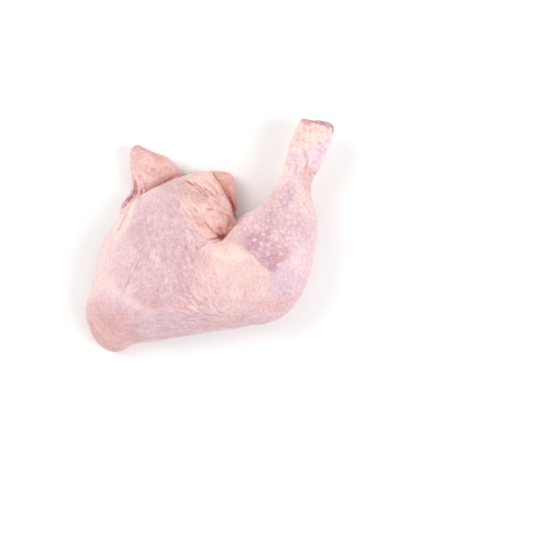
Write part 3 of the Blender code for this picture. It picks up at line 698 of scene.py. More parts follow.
def new_piece(name: str, bm: bmesh.types.BMesh) -> bpy.types.Object:
    """Link a bmesh as a new piece and free it.

    Args:
        name: the piece's name.
        bm: its mesh, in metres.

    Returns:
        The piece, at the origin.
    """
    mesh = bpy.data.meshes.new(name)
    bm.to_mesh(mesh)
    bm.free()
    piece = bpy.data.objects.new(name, mesh)
    bpy.context.scene.collection.objects.link(piece)
    return piece


def bake_modifiers(piece: bpy.types.Object) -> None:
    """Replace a piece's mesh with the evaluated one and drop its modifiers.

    Args:
        piece: the piece.
    """
    graph = bpy.context.evaluated_depsgraph_get()
    graph.update()
    finished = bpy.data.meshes.new_from_object(piece.evaluated_get(graph))
    piece.modifiers.clear()
    piece.vertex_groups.clear()
    piece.data = finished


def even_copy(name: str, node: str, cell: float) -> bpy.types.Object:
    """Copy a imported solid, round its facets and give it a mesh of even cells.

    Args:
        name: name of the new piece.
        node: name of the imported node.
        cell: size of the cells.

    Returns:
        The piece.
    """
    bm = bmesh.new()
    bm.from_mesh(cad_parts[node].data)
    bmesh.ops.remove_doubles(bm, verts=bm.verts, dist=WELD)
    piece = new_piece(name, bm)
    rounded = piece.modifiers.new("rounded", "SUBSURF")
    rounded.levels = 1
    rounded.render_levels = 1
    bake_modifiers(piece)
    even = piece.modifiers.new("even", "REMESH")
    even.mode = "VOXEL"
    even.voxel_size = cell * MM
    bake_modifiers(piece)
    return piece


def packed_box(node: str) -> tuple[np.ndarray, np.ndarray]:
    """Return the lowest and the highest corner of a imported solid's box, in millimetres."""
    low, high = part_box(node)
    return np.array(low) / MM, np.array(high) / MM


def dress(piece: bpy.types.Object, material: bpy.types.Material) -> None:
    """Give a piece its only material, and shade it smoothly.

    Args:
        piece: the piece.
        material: the material.
    """
    piece.data.materials.clear()
    piece.data.materials.append(material)
    piece.data.shade_smooth()


def flow(plan: np.ndarray) -> np.ndarray:
    """Read the direction in which the skin is drawn.

    Args:
        plan: the plan places.

    Returns:
        The direction at each, in radians from the right.
    """
    guides = np.array(FLOW, dtype=float)
    away = np.linalg.norm(plan[:, None, :] - guides[None, :, :2], axis=2)
    weights = 1.0 / (away + FLOW_BLEND) ** 3
    doubled = np.radians(guides[:, 2]) * 2.0
    return 0.5 * np.arctan2(weights @ np.sin(doubled), weights @ np.cos(doubled))


def measure(plan: np.ndarray, line: np.ndarray) -> tuple[np.ndarray, np.ndarray, np.ndarray]:
    """Measure places against a line of short straight runs.

    Args:
        plan: the plan places.
        line: the line's places, in order.

    Returns:
        For each place its distance from the line, the share of the line's length at its
        nearest point, and 1 on the line's left or -1 on its right.
    """
    least = np.full(len(plan), np.inf)
    share = np.zeros(len(plan))
    side = np.ones(len(plan))
    lengths = np.hypot(*(line[1:] - line[:-1]).T)
    travelled = np.concatenate([[0.0], np.cumsum(lengths)])
    for number, (start, end) in enumerate(zip(line, line[1:])):
        run = end - start
        away = plan - start
        along = (away @ run / max(run @ run, 1e-12)).clip(0.0, 1.0)
        distance = np.hypot(*(away - along[:, None] * run).T)
        closer = distance < least
        least[closer] = distance[closer]
        share[closer] = (travelled[number] + along[closer] * lengths[number]) / travelled[-1]
        turn = run[0] * away[:, 1] - run[1] * away[:, 0]
        side[closer] = np.where(turn[closer] >= 0.0, 1.0, -1.0)
    return least, share, side


def encloses(line: np.ndarray, plan: np.ndarray) -> np.ndarray:
    """Say which plan places lie inside a closed line.

    Args:
        line: the closed line's places, its first repeated at its end.
        plan: the places.

    Returns:
        True for each place inside.
    """
    inside = np.zeros(len(plan), dtype=bool)
    for (x0, y0), (x1, y1) in zip(line, line[1:]):
        if y0 == y1:
            continue
        spans = (y0 > plan[:, 1]) != (y1 > plan[:, 1])
        inside ^= spans & (plan[:, 0] < x0 + (plan[:, 1] - y0) * (x1 - x0) / (y1 - y0))
    return inside


def in_fine_areas(plan: np.ndarray) -> np.ndarray:
    """Say which plan places lie in the areas of the finest folds.

    Args:
        plan: the places.

    Returns:
        True for each place inside.
    """
    fine = np.zeros(len(plan), dtype=bool)
    for outline in FINE_AREAS:
        fine |= encloses(closed_line(outline), plan)
    return fine


class Surface:
    """A piece's mesh held as arrays, in millimetres, while it is modelled and painted."""

    def __init__(self, piece: bpy.types.Object) -> None:
        """Read the mesh.

        Args:
            piece: the piece whose mesh is modelled.
        """
        self.mesh = piece.data
        count = len(self.mesh.vertices)
        flat = np.empty(count * 3)
        self.mesh.vertices.foreach_get("co", flat)
        self.places = flat.reshape(-1, 3) / MM
        pairs = np.empty(len(self.mesh.edges) * 2, dtype=np.int32)
        self.mesh.edges.foreach_get("vertices", pairs)
        self.starts, self.ends = pairs[0::2], pairs[1::2]
        self.links = np.bincount(self.starts, minlength=count) + np.bincount(self.ends, minlength=count)
        self.tints = {tint: np.zeros(count) for tint in Tint}
        self.normals = self.read_normals()
        spans = np.linalg.norm(self.places[self.starts] - self.places[self.ends], axis=1)
        self.ground = self.gather(spans ** 2) / self.links

    def read_normals(self) -> np.ndarray:
        """Read the vertex normals of the mesh as it stands.

        Returns:
            The normals, one in each row.
        """
        flat = np.empty(len(self.places) * 3)
        self.mesh.vertex_normals.foreach_get("vector", flat)
        return flat.reshape(-1, 3)

    def write(self) -> None:
        """Write the places to the mesh and read its new normals."""
        self.mesh.vertices.foreach_set("co", (self.places * MM).ravel())
        self.mesh.update()
        self.normals = self.read_normals()

    def lift(self, rise: np.ndarray) -> None:
        """Move every vertex along its normal, by as much as rise says for each."""
        self.places += self.normals * rise[:, None]
        self.write()

    def facing_up(self, gain: float, wall: float) -> np.ndarray:
        """Return how far each vertex faces up, from 0 to 1; wall is the value on upright skin."""
        return ease(self.normals[:, 2] * gain + wall)

    def gather(self, values: np.ndarray) -> np.ndarray:
        """Return the sum of a value of the edges at each vertex."""
        count = len(self.places)
        return np.bincount(self.starts, values, count) + np.bincount(self.ends, values, count)

    def neighbours(self, values: np.ndarray) -> np.ndarray:
        """Average a value over each vertex's neighbours.

        Args:
            values: one value for each vertex.

        Returns:
            The averages.
        """
        count = len(values)
        total = np.bincount(self.starts, values[self.ends], count)
        total += np.bincount(self.ends, values[self.starts], count)
        return total / self.links

    def soften(self, places: np.ndarray) -> np.ndarray:
        """Return each place moved to the middle of its neighbours."""
        return np.stack([self.neighbours(places[:, axis]) for axis in range(3)], axis=1)

    def relax(self, steps: int, weights: np.ndarray | float = 1.0, pull: float = 0.6) -> None:
        """Smooth the mesh.

        Args:
            steps: how many times.
            weights: how much of the smoothing each vertex gets.
            pull: how far a vertex moves towards its neighbours' middle each time.
        """
        for _ in range(steps):
            step = self.soften(self.places) - self.places
            self.places += step * (pull * np.asarray(weights)).reshape(-1, 1)
        self.write()

    def hollows(self, reach: int) -> np.ndarray:
        """Measure how far the skin lies below its own smoothed form.

        Args:
            reach: how many smoothing steps the smoothed form takes.

        Returns:
            The depth at each vertex, positive in hollows and negative on ridges.
        """
        soft = self.places.copy()
        for _ in range(reach):
            soft = self.soften(soft)
        return ((soft - self.places) * self.normals).sum(axis=1)

    def paint(self, tint: Tint, amount: np.ndarray, where: np.ndarray | slice = slice(None)) -> None:
        """Add paint to a tint, which never gets stronger than 1.

        Args:
            tint: the tint.
            amount: paint to add, from 0 to 1.
            where: the vertices it is added to.
        """
        layer = self.tints[tint]
        layer[where] = layer[where] + amount * (1.0 - layer[where])

    def around(self, line: np.ndarray, reach: float) -> np.ndarray:
        """Say which vertices lie in a line's plan box.

        Args:
            line: the line's places.
            reach: how much wider the box is on all sides.

        Returns:
            True for each vertex inside.
        """
        plan = self.places[:, :2]
        low, high = line.min(axis=0) - reach, line.max(axis=0) + reach
        return ((plan > low) & (plan < high)).all(axis=1)

    def draw(self, strokes: tuple[Stroke, ...]) -> None:
        """Draw strokes on the upper side of the skin, in relief and in paint.

        Args:
            strokes: the strokes.
        """
        plan = self.places[:, :2]
        rise = np.zeros(len(plan))
        # The relief ends on the flanks, and the paint a little further down.
        raised = self.facing_up(1.6, 0.1)
        shown = self.facing_up(3.0, 0.5)
        for stroke in strokes:
            line = smooth_path(stroke.path, STROKE_PLACES * len(stroke.path))
            near = np.nonzero(self.around(line, STROKE_REACH * stroke.width) & (shown > 0.0))[0]
            distance, share, side = measure(plan[near], line)
            held = (4.0 * share * (1.0 - share)).clip(0.0, 1.0) ** 0.5
            held = 1.0 - stroke.taper + stroke.taper * held
            if stroke.profile is Profile.STEP:
                across = np.tanh(side * distance / stroke.width)
                across *= np.exp(-(distance / (STEP_REACH * stroke.width)) ** 2)
            else:
                across = np.exp(-(distance / stroke.width) ** 2)
            rise[near] += across * held * raised[near] * stroke.height
            if stroke.tint:
                painted = np.exp(-(distance / (stroke.width * stroke.spread)) ** 2)
                self.paint(stroke.tint, painted * held * shown[near] * stroke.strength, near)
        self.lift(rise)

    def wrinkle(self, wrinkling: Wrinkling) -> None:
        """Draw fine wrinkles in relief and in paint.

        Args:
            wrinkling: what they are like.
        """
        draw = np.random.default_rng(wrinkling.seed)
        area = self.cover(wrinkling.outline, wrinkling.fade, 1.0, wrinkling.seed)
        area *= self.facing_up(1.6, 0.3)
        ground = self.ground * area
        count = int(wrinkling.density * ground.sum() / SQUARE_CENTIMETRE)
        sites = draw.choice(len(area), count, p=ground / ground.sum())
        angles = flow(self.places[sites, :2]) + np.radians(draw.normal(0.0, wrinkling.stray, count))
        tree = plant(self.places)
        rise = np.zeros(len(area))
        for site, angle in zip(sites, angles):
            length = draw.uniform(*wrinkling.length)
            width = draw.uniform(*wrinkling.width)
            bend = draw.normal(0.0, wrinkling.bend)
            level = draw.uniform(*wrinkling.levels)
            groove = draw.random() < wrinkling.grooves
            tint = wrinkling.tints[draw.integers(len(wrinkling.tints))]
            found = tree.find_range(self.places[site].tolist(), 2.0 * length)
            near = np.array([hit[1] for hit in found])
            normal = self.normals[site]
            along = np.array((math.cos(angle), math.sin(angle), 0.0))
            along -= normal * (normal @ along)
            along /= np.linalg.norm(along)
            away = self.places[near] - self.places[site]
            run = away @ along
            across = away @ np.cross(normal, along) - bend * run ** 2
            bell = np.exp(-(run / length) ** 4 - (across / width) ** 2) * area[near] * level
            rise[near] += bell * (-wrinkling.height[0] if groove else wrinkling.height[1])
            self.paint(tint if groove else Tint.PALE, bell * wrinkling.strength, near)
        self.lift(rise)

    def cover(self, outline: Path, fade: float, ragged: float, seed: float) -> np.ndarray:
        """Say how far inside a plan outline each vertex is.

        Args:
            outline: the plan outline.
            fade: width of its soft edge.
            ragged: how far the edge wanders.
            seed: shifts the wandering.

        Returns:
            Values from 0 outside to 1 inside.
        """
        line = closed_line(outline)
        plan = self.places[:, :2]
        near = np.nonzero(self.around(line, fade + ragged))[0]
        distance, _, _ = measure(plan[near], line)
        distance *= np.where(encloses(line, plan[near]), 1.0, -1.0)
        distance += grain(self.places[near], 4.0 + fade, seed) * ragged
        inside = np.zeros(len(plan))
        inside[near] = ease(distance / fade + 0.5)
        return inside

    def store_tints(self) -> None:
        """Write the tints to the mesh as attributes."""
        for tint, layer in self.tints.items():
            made = self.mesh.attributes.new(tint.value, "FLOAT", "POINT")
            made.data.foreach_set("value", layer.clip(0.0, 1.0).astype(np.float32))


class NodeSheet:
    """A material's node tree with short calls for the nodes that the finishes use."""

    def __init__(self, name: str) -> None:
        """Start a material.

        Args:
            name: the material's name.
        """
        self.material = bpy.data.materials.new(name)
        self.material.use_nodes = True
        self.tree = self.material.node_tree
        self.shader = self.tree.nodes["Principled BSDF"]
        self.object_places = self.tree.nodes.new("ShaderNodeTexCoord").outputs["Object"]

    def plug(self, value: object, socket: bpy.types.NodeSocket) -> None:
        """Link an output to a socket, or set the socket to a plain value.

        Args:
            value: the output or the plain value.
            socket: the input socket.
        """
        if isinstance(value, bpy.types.NodeSocket):
            self.tree.links.new(value, socket)
        else:
            socket.default_value = value

    def set_shader(self, values: dict[str, object]) -> bpy.types.Material:
        """Set the shader's own inputs.

        Args:
            values: an output or a plain value for each input, by the input's name.

        Returns:
            The finished material.
        """
        for name, value in values.items():
            self.plug(value, self.shader.inputs[name])
        return self.material

    def tint(self, tint: Tint) -> bpy.types.NodeSocket:
        """Read a painted tint.

        Args:
            tint: the tint.

        Returns:
            Its value, from 0 to 1.
        """
        node = self.tree.nodes.new("ShaderNodeAttribute")
        node.attribute_name = tint.value
        return node.outputs["Fac"]

    def noise(self, size: float, detail: float = 3.0, roughness: float = 0.55) -> bpy.types.NodeSocket:
        """Lay noise over the piece.

        Args:
            size: size of its blotches in millimetres.
            detail: how many finer layers it has.
            roughness: how strong the finer layers are.

        Returns:
            The noise's value, from 0 to 1.
        """
        node = self.tree.nodes.new("ShaderNodeTexNoise")
        self.plug(self.object_places, node.inputs["Vector"])
        node.inputs["Scale"].default_value = 1.0 / (size * MM)
        node.inputs["Detail"].default_value = detail
        node.inputs["Roughness"].default_value = roughness
        return node.outputs["Fac"]

    def times(self, first: object, second: object, clamp: bool = False) -> bpy.types.NodeSocket:
        """Multiply two values.

        Args:
            first: the first value or output.
            second: the second.
            clamp: whether the result is held between 0 and 1.

        Returns:
            The result.
        """
        node = self.tree.nodes.new("ShaderNodeMath")
        node.operation = "MULTIPLY"
        node.use_clamp = clamp
        self.plug(first, node.inputs[0])
        self.plug(second, node.inputs[1])
        return node.outputs[0]

    def stretch(self, value: bpy.types.NodeSocket, low: float, high: float,
                start: float = 0.0, end: float = 1.0) -> bpy.types.NodeSocket:
        """Map a value smoothly from one range to another.

        Args:
            value: the value.
            low: what maps to start.
            high: what maps to end.
            start: lowest result.
            end: highest result.

        Returns:
            The mapped value.
        """
        node = self.tree.nodes.new("ShaderNodeMapRange")
        node.interpolation_type = "SMOOTHSTEP"
        self.plug(value, node.inputs["Value"])
        for name, number in (("From Min", low), ("From Max", high), ("To Min", start), ("To Max", end)):
            node.inputs[name].default_value = number
        return node.outputs["Result"]

    def mix(self, factor: object, first: object, second: object) -> bpy.types.NodeSocket:
        """Mix two colours.

        Args:
            factor: share of the second, from 0 to 1.
            first: the first colour or output.
            second: the second.

        Returns:
            The mixed colour.
        """
        node = self.tree.nodes.new("ShaderNodeMix")
        node.data_type = "RGBA"
        self.plug(factor, node.inputs["Factor"])
        self.plug(first, node.inputs["A"])
        self.plug(second, node.inputs["B"])
        return node.outputs[2]

    def bump(self, heights: tuple[tuple[bpy.types.NodeSocket, float], ...]) -> bpy.types.NodeSocket:
        """Turn values into fine relief.

        Args:
            heights: values and how high each is, in millimetres.

        Returns:
            The normal for the shader.
        """
        normal = None
        for value, height in heights:
            node = self.tree.nodes.new("ShaderNodeBump")
            node.inputs["Distance"].default_value = height * MM
            self.plug(value, node.inputs["Height"])
            if normal:
                self.plug(normal, node.inputs["Normal"])
            normal = node.outputs["Normal"]
        return normal


def srgb(red: int, green: int, blue: int) -> Colour:
    """Turn a screen colour into the linear colour that shaders take.

    Args:
        red: its red, in steps of 255.
        green: its green.
        blue: its blue.

    Returns:
        The linear colour, opaque.
    """
    steps = (red / 255, green / 255, blue / 255)
    linear = [s / 12.92 if s <= 0.04045 else ((s + 0.055) / 1.055) ** 2.4 for s in steps]
    return (*linear, 1.0)


@dataclass(frozen=True)
class Wash:
    """A colour that a tint lays over the skin.

    Attributes:
        tint: the painted tint.
        colour: its colour.
        strength: how much of it shows where the tint is full.
        blotch: size of its blotches in millimetres.
        uneven: how uneven the blotches make it, from 0 to 1.
    """

    tint: Tint
    colour: Colour
    strength: float
    blotch: float
    uneven: float


@dataclass(frozen=True)
class SkinFinish:
    """Moist raw chicken skin: thin, pale and pink, with fat and muscle showing through.

    Attributes:
        pale: the palest plain skin.
        pink: the pinkest, which alternates with it in large blotches.
        mauve: the small mottles over both.
        roughness: roughness of the wettest and of the driest skin.
        flecks: size, colour and strength of the finest flecks.
        washes: the painted tints, the lowest layer first.
    """

    pale: Colour = srgb(242, 214, 214)
    pink: Colour = srgb(226, 192, 196)
    mauve: Colour = srgb(206, 170, 181)
    roughness: tuple[float, float] = (0.32, 0.5)
    flecks: tuple[tuple[float, Colour, float], ...] = (
        (1.3, srgb(252, 232, 230), 0.48),
        (1.6, srgb(190, 152, 176), 0.26),
        (2.2, srgb(232, 170, 152), 0.22),
        (1.2, srgb(202, 144, 152), 0.26),
    )
    washes: tuple[Wash, ...] = (
        Wash(Tint.PALE, srgb(245, 220, 218), 0.7, 5.0, 0.3),
        Wash(Tint.PEARL, srgb(247, 224, 236), 0.85, 4.0, 0.3),
        Wash(Tint.DUSK, srgb(193, 157, 169), 0.8, 4.0, 0.6),
        Wash(Tint.PEACH, srgb(236, 190, 174), 0.8, 6.0, 0.4),
        Wash(Tint.FAT, srgb(238, 203, 197), 0.9, 8.0, 0.25),
        Wash(Tint.CREAM, srgb(255, 231, 217), 0.9, 5.0, 0.25),
        Wash(Tint.TAN, srgb(212, 146, 120), 0.9, 6.0, 0.3),
        Wash(Tint.ROSE, srgb(212, 146, 150), 0.7, 3.0, 0.5),
        Wash(Tint.LILAC, srgb(216, 184, 208), 0.8, 4.0, 0.5),
        Wash(Tint.SHADE, srgb(196, 166, 160), 0.8, 4.0, 0.4),
        Wash(Tint.BLUE, srgb(186, 178, 208), 0.8, 2.5, 0.4),
        Wash(Tint.MUSCLE, srgb(176, 108, 136), 0.85, 4.0, 0.25),
        Wash(Tint.PORE, srgb(250, 224, 226), 0.75, 1.5, 0.2),
        Wash(Tint.MEAT, srgb(178, 70, 82), 0.95, 1.5, 0.4),
        # The dark orange of folds, deepened as painted shade in creases and pits.
        Wash(Tint.FOLD_SHADE, srgb(186, 70, 46), 0.85, 2.0, 0.25),
        Wash(Tint.FLESH, srgb(200, 112, 116), 0.95, 5.0, 0.35),
    )

    def build(self) -> bpy.types.Material:
        """Make the material.

        Returns:
            The material.
        """
        sheet = NodeSheet("raw_chicken_skin")
        colour = sheet.mix(sheet.stretch(sheet.noise(14.0, 2.0), 0.35, 0.65), self.pale, self.pink)
        mottle = sheet.stretch(sheet.noise(2.6, 3.0, 0.65), 0.45, 0.7, 0.0, 0.5)
        colour = sheet.mix(mottle, colour, self.mauve)
        for wash in self.washes:
            blotch = sheet.stretch(sheet.noise(wash.blotch), 0.3, 0.65, 1.0 - wash.uneven, 1.0)
            amount = sheet.times(sheet.tint(wash.tint), blotch)
            amount = sheet.times(amount, wash.strength, clamp=True)
            colour = sheet.mix(amount, colour, wash.colour)
        for size, fleck, strength in self.flecks:
            amount = sheet.stretch(sheet.noise(size, 2.0), 0.5, 0.75, 0.0, strength)
            colour = sheet.mix(amount, colour, fleck)
        return sheet.set_shader({
            "Base Color": colour,
            "Roughness": sheet.stretch(sheet.noise(5.0, 4.0), 0.3, 0.7, *self.roughness),
            "Specular IOR Level": 0.4,
            "Subsurface Weight": 0.2,
            "Subsurface Radius": (1.0, 0.45, 0.3),
            "Subsurface Scale": 1.5 * MM,
            "Normal": sheet.bump(((sheet.noise(1.4, 3.0, 0.65), 0.45), (sheet.noise(0.4, 2.0), 0.05))),
        })


@dataclass(frozen=True)
class CartilageFinish:
    """Wet joint cartilage.

    Attributes:
        milky: most of it.
        rosy: its rosier blotches.
        hollow: painted shade in the pits and on the side in the skin's shade.
    """

    milky: Colour = srgb(206, 166, 176)
    rosy: Colour = srgb(194, 136, 156)
    hollow: Colour = srgb(140, 62, 72)

    def build(self) -> bpy.types.Material:
        """Make the material.

        Returns:
            The material.
        """
        sheet = NodeSheet("hock_cartilage")
        colour = sheet.mix(sheet.stretch(sheet.noise(3.5), 0.4, 0.65), self.milky, self.rosy)
        # Painted shade where the fold tint lies: in the pits and on the side in the skin's shade.
        colour = sheet.mix(sheet.times(sheet.tint(Tint.FOLD_SHADE), 0.8), colour, self.hollow)
        return sheet.set_shader({
            "Base Color": colour,
            "Roughness": sheet.stretch(sheet.noise(2.0), 0.3, 0.7, 0.2, 0.34),
            "Subsurface Weight": 0.3,
            "Subsurface Radius": (1.0, 0.5, 0.5),
            "Subsurface Scale": 2.0 * MM,
            "Normal": sheet.bump(((sheet.noise(0.8, 3.0), 0.05),)),
        })


@dataclass(frozen=True)
class SinewFinish:
    """Wet sinew: pearly white with pink streaks."""

    pearl: Colour = srgb(246, 218, 214)
    pink: Colour = srgb(232, 170, 168)

    def build(self) -> bpy.types.Material:
        """Make the material.

        Returns:
            The material.
        """
        sheet = NodeSheet("sinew")
        colour = sheet.mix(sheet.stretch(sheet.noise(2.0), 0.4, 0.65), self.pearl, self.pink)
        return sheet.set_shader({
            "Base Color": colour,
            "Roughness": 0.5,
            "Subsurface Weight": 0.25,
            "Subsurface Scale": 1.0 * MM,
            "Normal": sheet.bump(((sheet.noise(0.6, 2.0), 0.05),)),
        })


@dataclass(frozen=True)
class TableFinish:
    """A matt white table."""

    white: Colour = srgb(245, 245, 244)
    bright: Colour = srgb(248, 248, 248)

    def build(self) -> bpy.types.Material:
        """Make the material.

        Returns:
            The material.
        """
        sheet = NodeSheet("white_table")
        return sheet.set_shader({
            "Base Color": sheet.mix(sheet.noise(60.0, 1.0), self.white, self.bright),
            "Roughness": 0.6,
            "Specular IOR Level": 0.2,
        })


@dataclass
class Skin:
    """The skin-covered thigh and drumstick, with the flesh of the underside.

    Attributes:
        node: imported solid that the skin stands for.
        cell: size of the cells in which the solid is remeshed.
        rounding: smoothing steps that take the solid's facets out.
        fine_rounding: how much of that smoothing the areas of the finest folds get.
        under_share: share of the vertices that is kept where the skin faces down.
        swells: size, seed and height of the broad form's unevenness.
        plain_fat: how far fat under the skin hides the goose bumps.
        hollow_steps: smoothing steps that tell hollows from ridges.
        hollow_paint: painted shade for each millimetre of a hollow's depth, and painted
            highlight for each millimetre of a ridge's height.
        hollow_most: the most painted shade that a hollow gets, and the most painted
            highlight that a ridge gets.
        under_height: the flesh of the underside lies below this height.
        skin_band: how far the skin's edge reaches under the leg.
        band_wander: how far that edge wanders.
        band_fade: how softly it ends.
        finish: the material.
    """

    node: str = "leg_quarter"
    cell: float = 0.74
    rounding: int = 14
    fine_rounding: float = 0.4
    under_share: float = 0.1
    swells: tuple[tuple[float, float, float], ...] = (
        (17.0, 3.1, 0.5),
        (6.5, 7.7, 0.22),
        (2.7, 5.3, 0.08),
    )
    plain_fat: float = 0.75
    hollow_steps: int = 8
    hollow_paint: float = 2.2
    hollow_most: float = 0.4
    under_height: float = 4.0
    skin_band: float = 8.0
    band_wander: float = 3.0
    band_fade: float = 1.6
    finish: SkinFinish = field(default_factory=SkinFinish)

    def build(self) -> bpy.types.Object:
        """Model, paint and dress the skin.

        Returns:
            The finished piece.
        """
        piece = even_copy("skin", self.node, self.cell)
        even = Surface(piece)
        even.relax(self.rounding, np.where(in_fine_areas(even.places[:, :2]), self.fine_rounding, 1.0))
        self.coarsen(piece)
        self.refine(piece)
        surface = Surface(piece)
        surface.relax(2, surface.facing_up(2.0, 1.0))
        self.swell(surface)
        for folds in (TAIL_FOLDS, GROIN_FOLDS, THIGH_FOLDS, DRUMSTICK_FOLDS):
            surface.draw(folds)
        surface.relax(1)
        self.lay_patches(surface)
        self.raise_bumps(surface)
        surface.draw(FOLLICLES)
        surface.draw(MARKS)
        for wrinkling in WRINKLES:
            surface.wrinkle(wrinkling)
        self.work_underside(surface)
        # Painted shade in the hollows and painted highlight on the ridges.
        self.paint_hollow_shade_and_ridge_highlight(surface)
        self.fit(surface)
        surface.store_tints()
        dress(piece, self.finish.build())
        return piece

    def coarsen(self, piece: bpy.types.Object) -> None:
        """Keep only a share of the skin's vertices where it faces down.

        Args:
            piece: the skin.
        """
        below = [v.index for v in piece.data.vertices if v.normal.z < 0.0]
        group = piece.vertex_groups.new(name="underside")
        group.add(below, 1.0, "REPLACE")
        coarse = piece.modifiers.new("coarse", "DECIMATE")
        coarse.ratio = 1.0 - (1.0 - self.under_share) * len(below) / len(piece.data.vertices)
        coarse.vertex_group = group.name
        coarse.vertex_group_factor = 1.0
        bake_modifiers(piece)

    @staticmethod
    def refine(piece: bpy.types.Object) -> None:
        """Halve the mesh's cells in the areas of the finest folds, except where they face down.

        Args:
            piece: the skin.
        """
        bm = bmesh.new()
        bm.from_mesh(piece.data)
        bm.verts.ensure_lookup_table()
        fine = in_fine_areas(np.array([vertex.co.xy for vertex in bm.verts]) / MM)
        fine &= np.array([vertex.normal.z > -0.2 for vertex in bm.verts])
        edges = [edge for edge in bm.edges if all(fine[vertex.index] for vertex in edge.verts)]
        bmesh.ops.subdivide_edges(bm, edges=edges, cuts=1, use_grid_fill=True)
        bm.to_mesh(piece.data)
        bm.free()

    def swell(self, surface: Surface) -> None:
        """Make the broad form uneven, as soft flesh is."""
        rise = sum(grain(surface.places, size, seed) * height for size, seed, height in self.swells)
        surface.lift(rise * surface.facing_up(2.0, 1.2))

    @staticmethod
    def lay_patches(surface: Surface) -> None:
        """Paint the areas that have a tint of their own.

        Args:
            surface: the skin.
        """
        for number, patch in enumerate(PATCHES):
            inside = surface.cover(patch.outline, patch.fade, patch.ragged, number * PATCH_SEEDS)
            surface.paint(patch.tint, inside * patch.strength)

    def raise_bumps(self, surface: Surface) -> None:
        """Raise and paint the goose bumps.

        Args:
            surface: the skin.
        """
        rise = np.zeros(len(surface.places))
        upper = surface.facing_up(1.4, 0.6)
        smooth = 1.0 - self.plain_fat * surface.tints[Tint.FAT]
        for bumps in BUMPS:
            area = surface.cover(bumps.outline, bumps.fade, 2.0, bumps.seed) * upper * smooth
            area *= 1.0 - bumps.shun * surface.tints[Tint.MUSCLE]
            sites = self.scatter(surface, area, bumps)
            distance, pick = nearest(surface.places, sites)
            draw = np.random.default_rng(bumps.seed)
            size = draw.uniform(*bumps.sizes, len(sites))
            show = draw.uniform(*bumps.shows, len(sites))
            # Whole groups of bumps show more than others.
            show *= ease(0.7 + 0.8 * grain(sites, 11.0, bumps.seed))
            bell = np.exp(-(distance / (bumps.radius * size[pick])) ** 2) * area
            # The valleys begin just inside a bump's radius.
            valley = ease(distance / bumps.radius - 0.9) * area
            rise += bell * size[pick] * bumps.height - valley * bumps.height * bumps.sink
            surface.paint(Tint.PORE, bell * show[pick] * bumps.strength)
            surface.paint(Tint.ROSE, valley * bumps.valley * show[pick])
        surface.lift(rise)

    @staticmethod
    def scatter(surface: Surface, area: np.ndarray, bumps: GooseBumps) -> np.ndarray:
        """Choose places for the bumps that are never closer than their spacing.

        Args:
            surface: the skin.
            area: where the bumps may be, from 0 to 1.
            bumps: the bumps.

        Returns:
            The chosen places.
        """
        draw = np.random.default_rng(bumps.seed)
        options = surface.places[area > 0.05]
        options = options[draw.permutation(len(options))]
        # The bumps stand closer in some places than in others.
        gaps = bumps.spacing * (1.0 + 0.25 * grain(options, 15.0, bumps.seed))
        free = np.ones(len(options), dtype=bool)
        chosen = []
        for number, place in enumerate(options):
            if not free[number]:
                continue
            chosen.append(place)
            away = ((options - place) ** 2).sum(axis=1)
            free &= away > gaps[number] ** 2
        return np.array(chosen)

    def work_underside(self, surface: Surface) -> None:
        """Show the flesh under the leg, framed by the edge of the skin.

        Args:
            surface: the skin.
        """
        down = -surface.normals[:, 2]
        low = surface.places[:, 2] < self.under_height
        # The rim is where the skin turns under; the flesh lies where it faces down.
        rim = surface.places[low & (down > 0.1) & (down < 0.75)]
        under = np.nonzero(low & (down > 0.6))[0]
        places = surface.places[under]
        distance, _ = nearest(places, rim)
        wander = grain(places, 9.0, 1.3) * self.band_wander
        flesh = ease((distance - self.skin_band + wander) / self.band_fade)
        surface.paint(Tint.FLESH, flesh, under)
        # The fibres run from left to right.
        fibres = grain(places * (0.35, 1.6, 1.0), 2.4, 9.1) * 0.5
        lumps = grain(places, 12.0, 2.2) * 0.4
        rise = np.zeros(len(surface.places))
        rise[under] = -flesh * (1.0 + fibres + lumps)
        surface.lift(rise)
        gristle = ease(grain(surface.places[under], 7.0, 4.4) * 4.0 - 1.2)
        surface.paint(Tint.PALE, gristle * flesh, under)

    def paint_hollow_shade_and_ridge_highlight(self, surface: Surface) -> None:
        """Paint rosier shade into the hollows and paler highlight onto the ridges.

        Args:
            surface: the skin.
        """
        depth = surface.hollows(self.hollow_steps) * self.hollow_paint
        surface.paint(Tint.ROSE, depth.clip(0.0, self.hollow_most))
        surface.paint(Tint.PALE, (-depth).clip(0.0, self.hollow_most))

    def fit(self, surface: Surface) -> None:
        """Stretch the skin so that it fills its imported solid's box exactly.

        Args:
            surface: the skin.
        """
        low, high = packed_box(self.node)
        lowest, highest = surface.places.min(axis=0), surface.places.max(axis=0)
        surface.places = low + (surface.places - lowest) * (high - low) / (highest - lowest)
        surface.write()


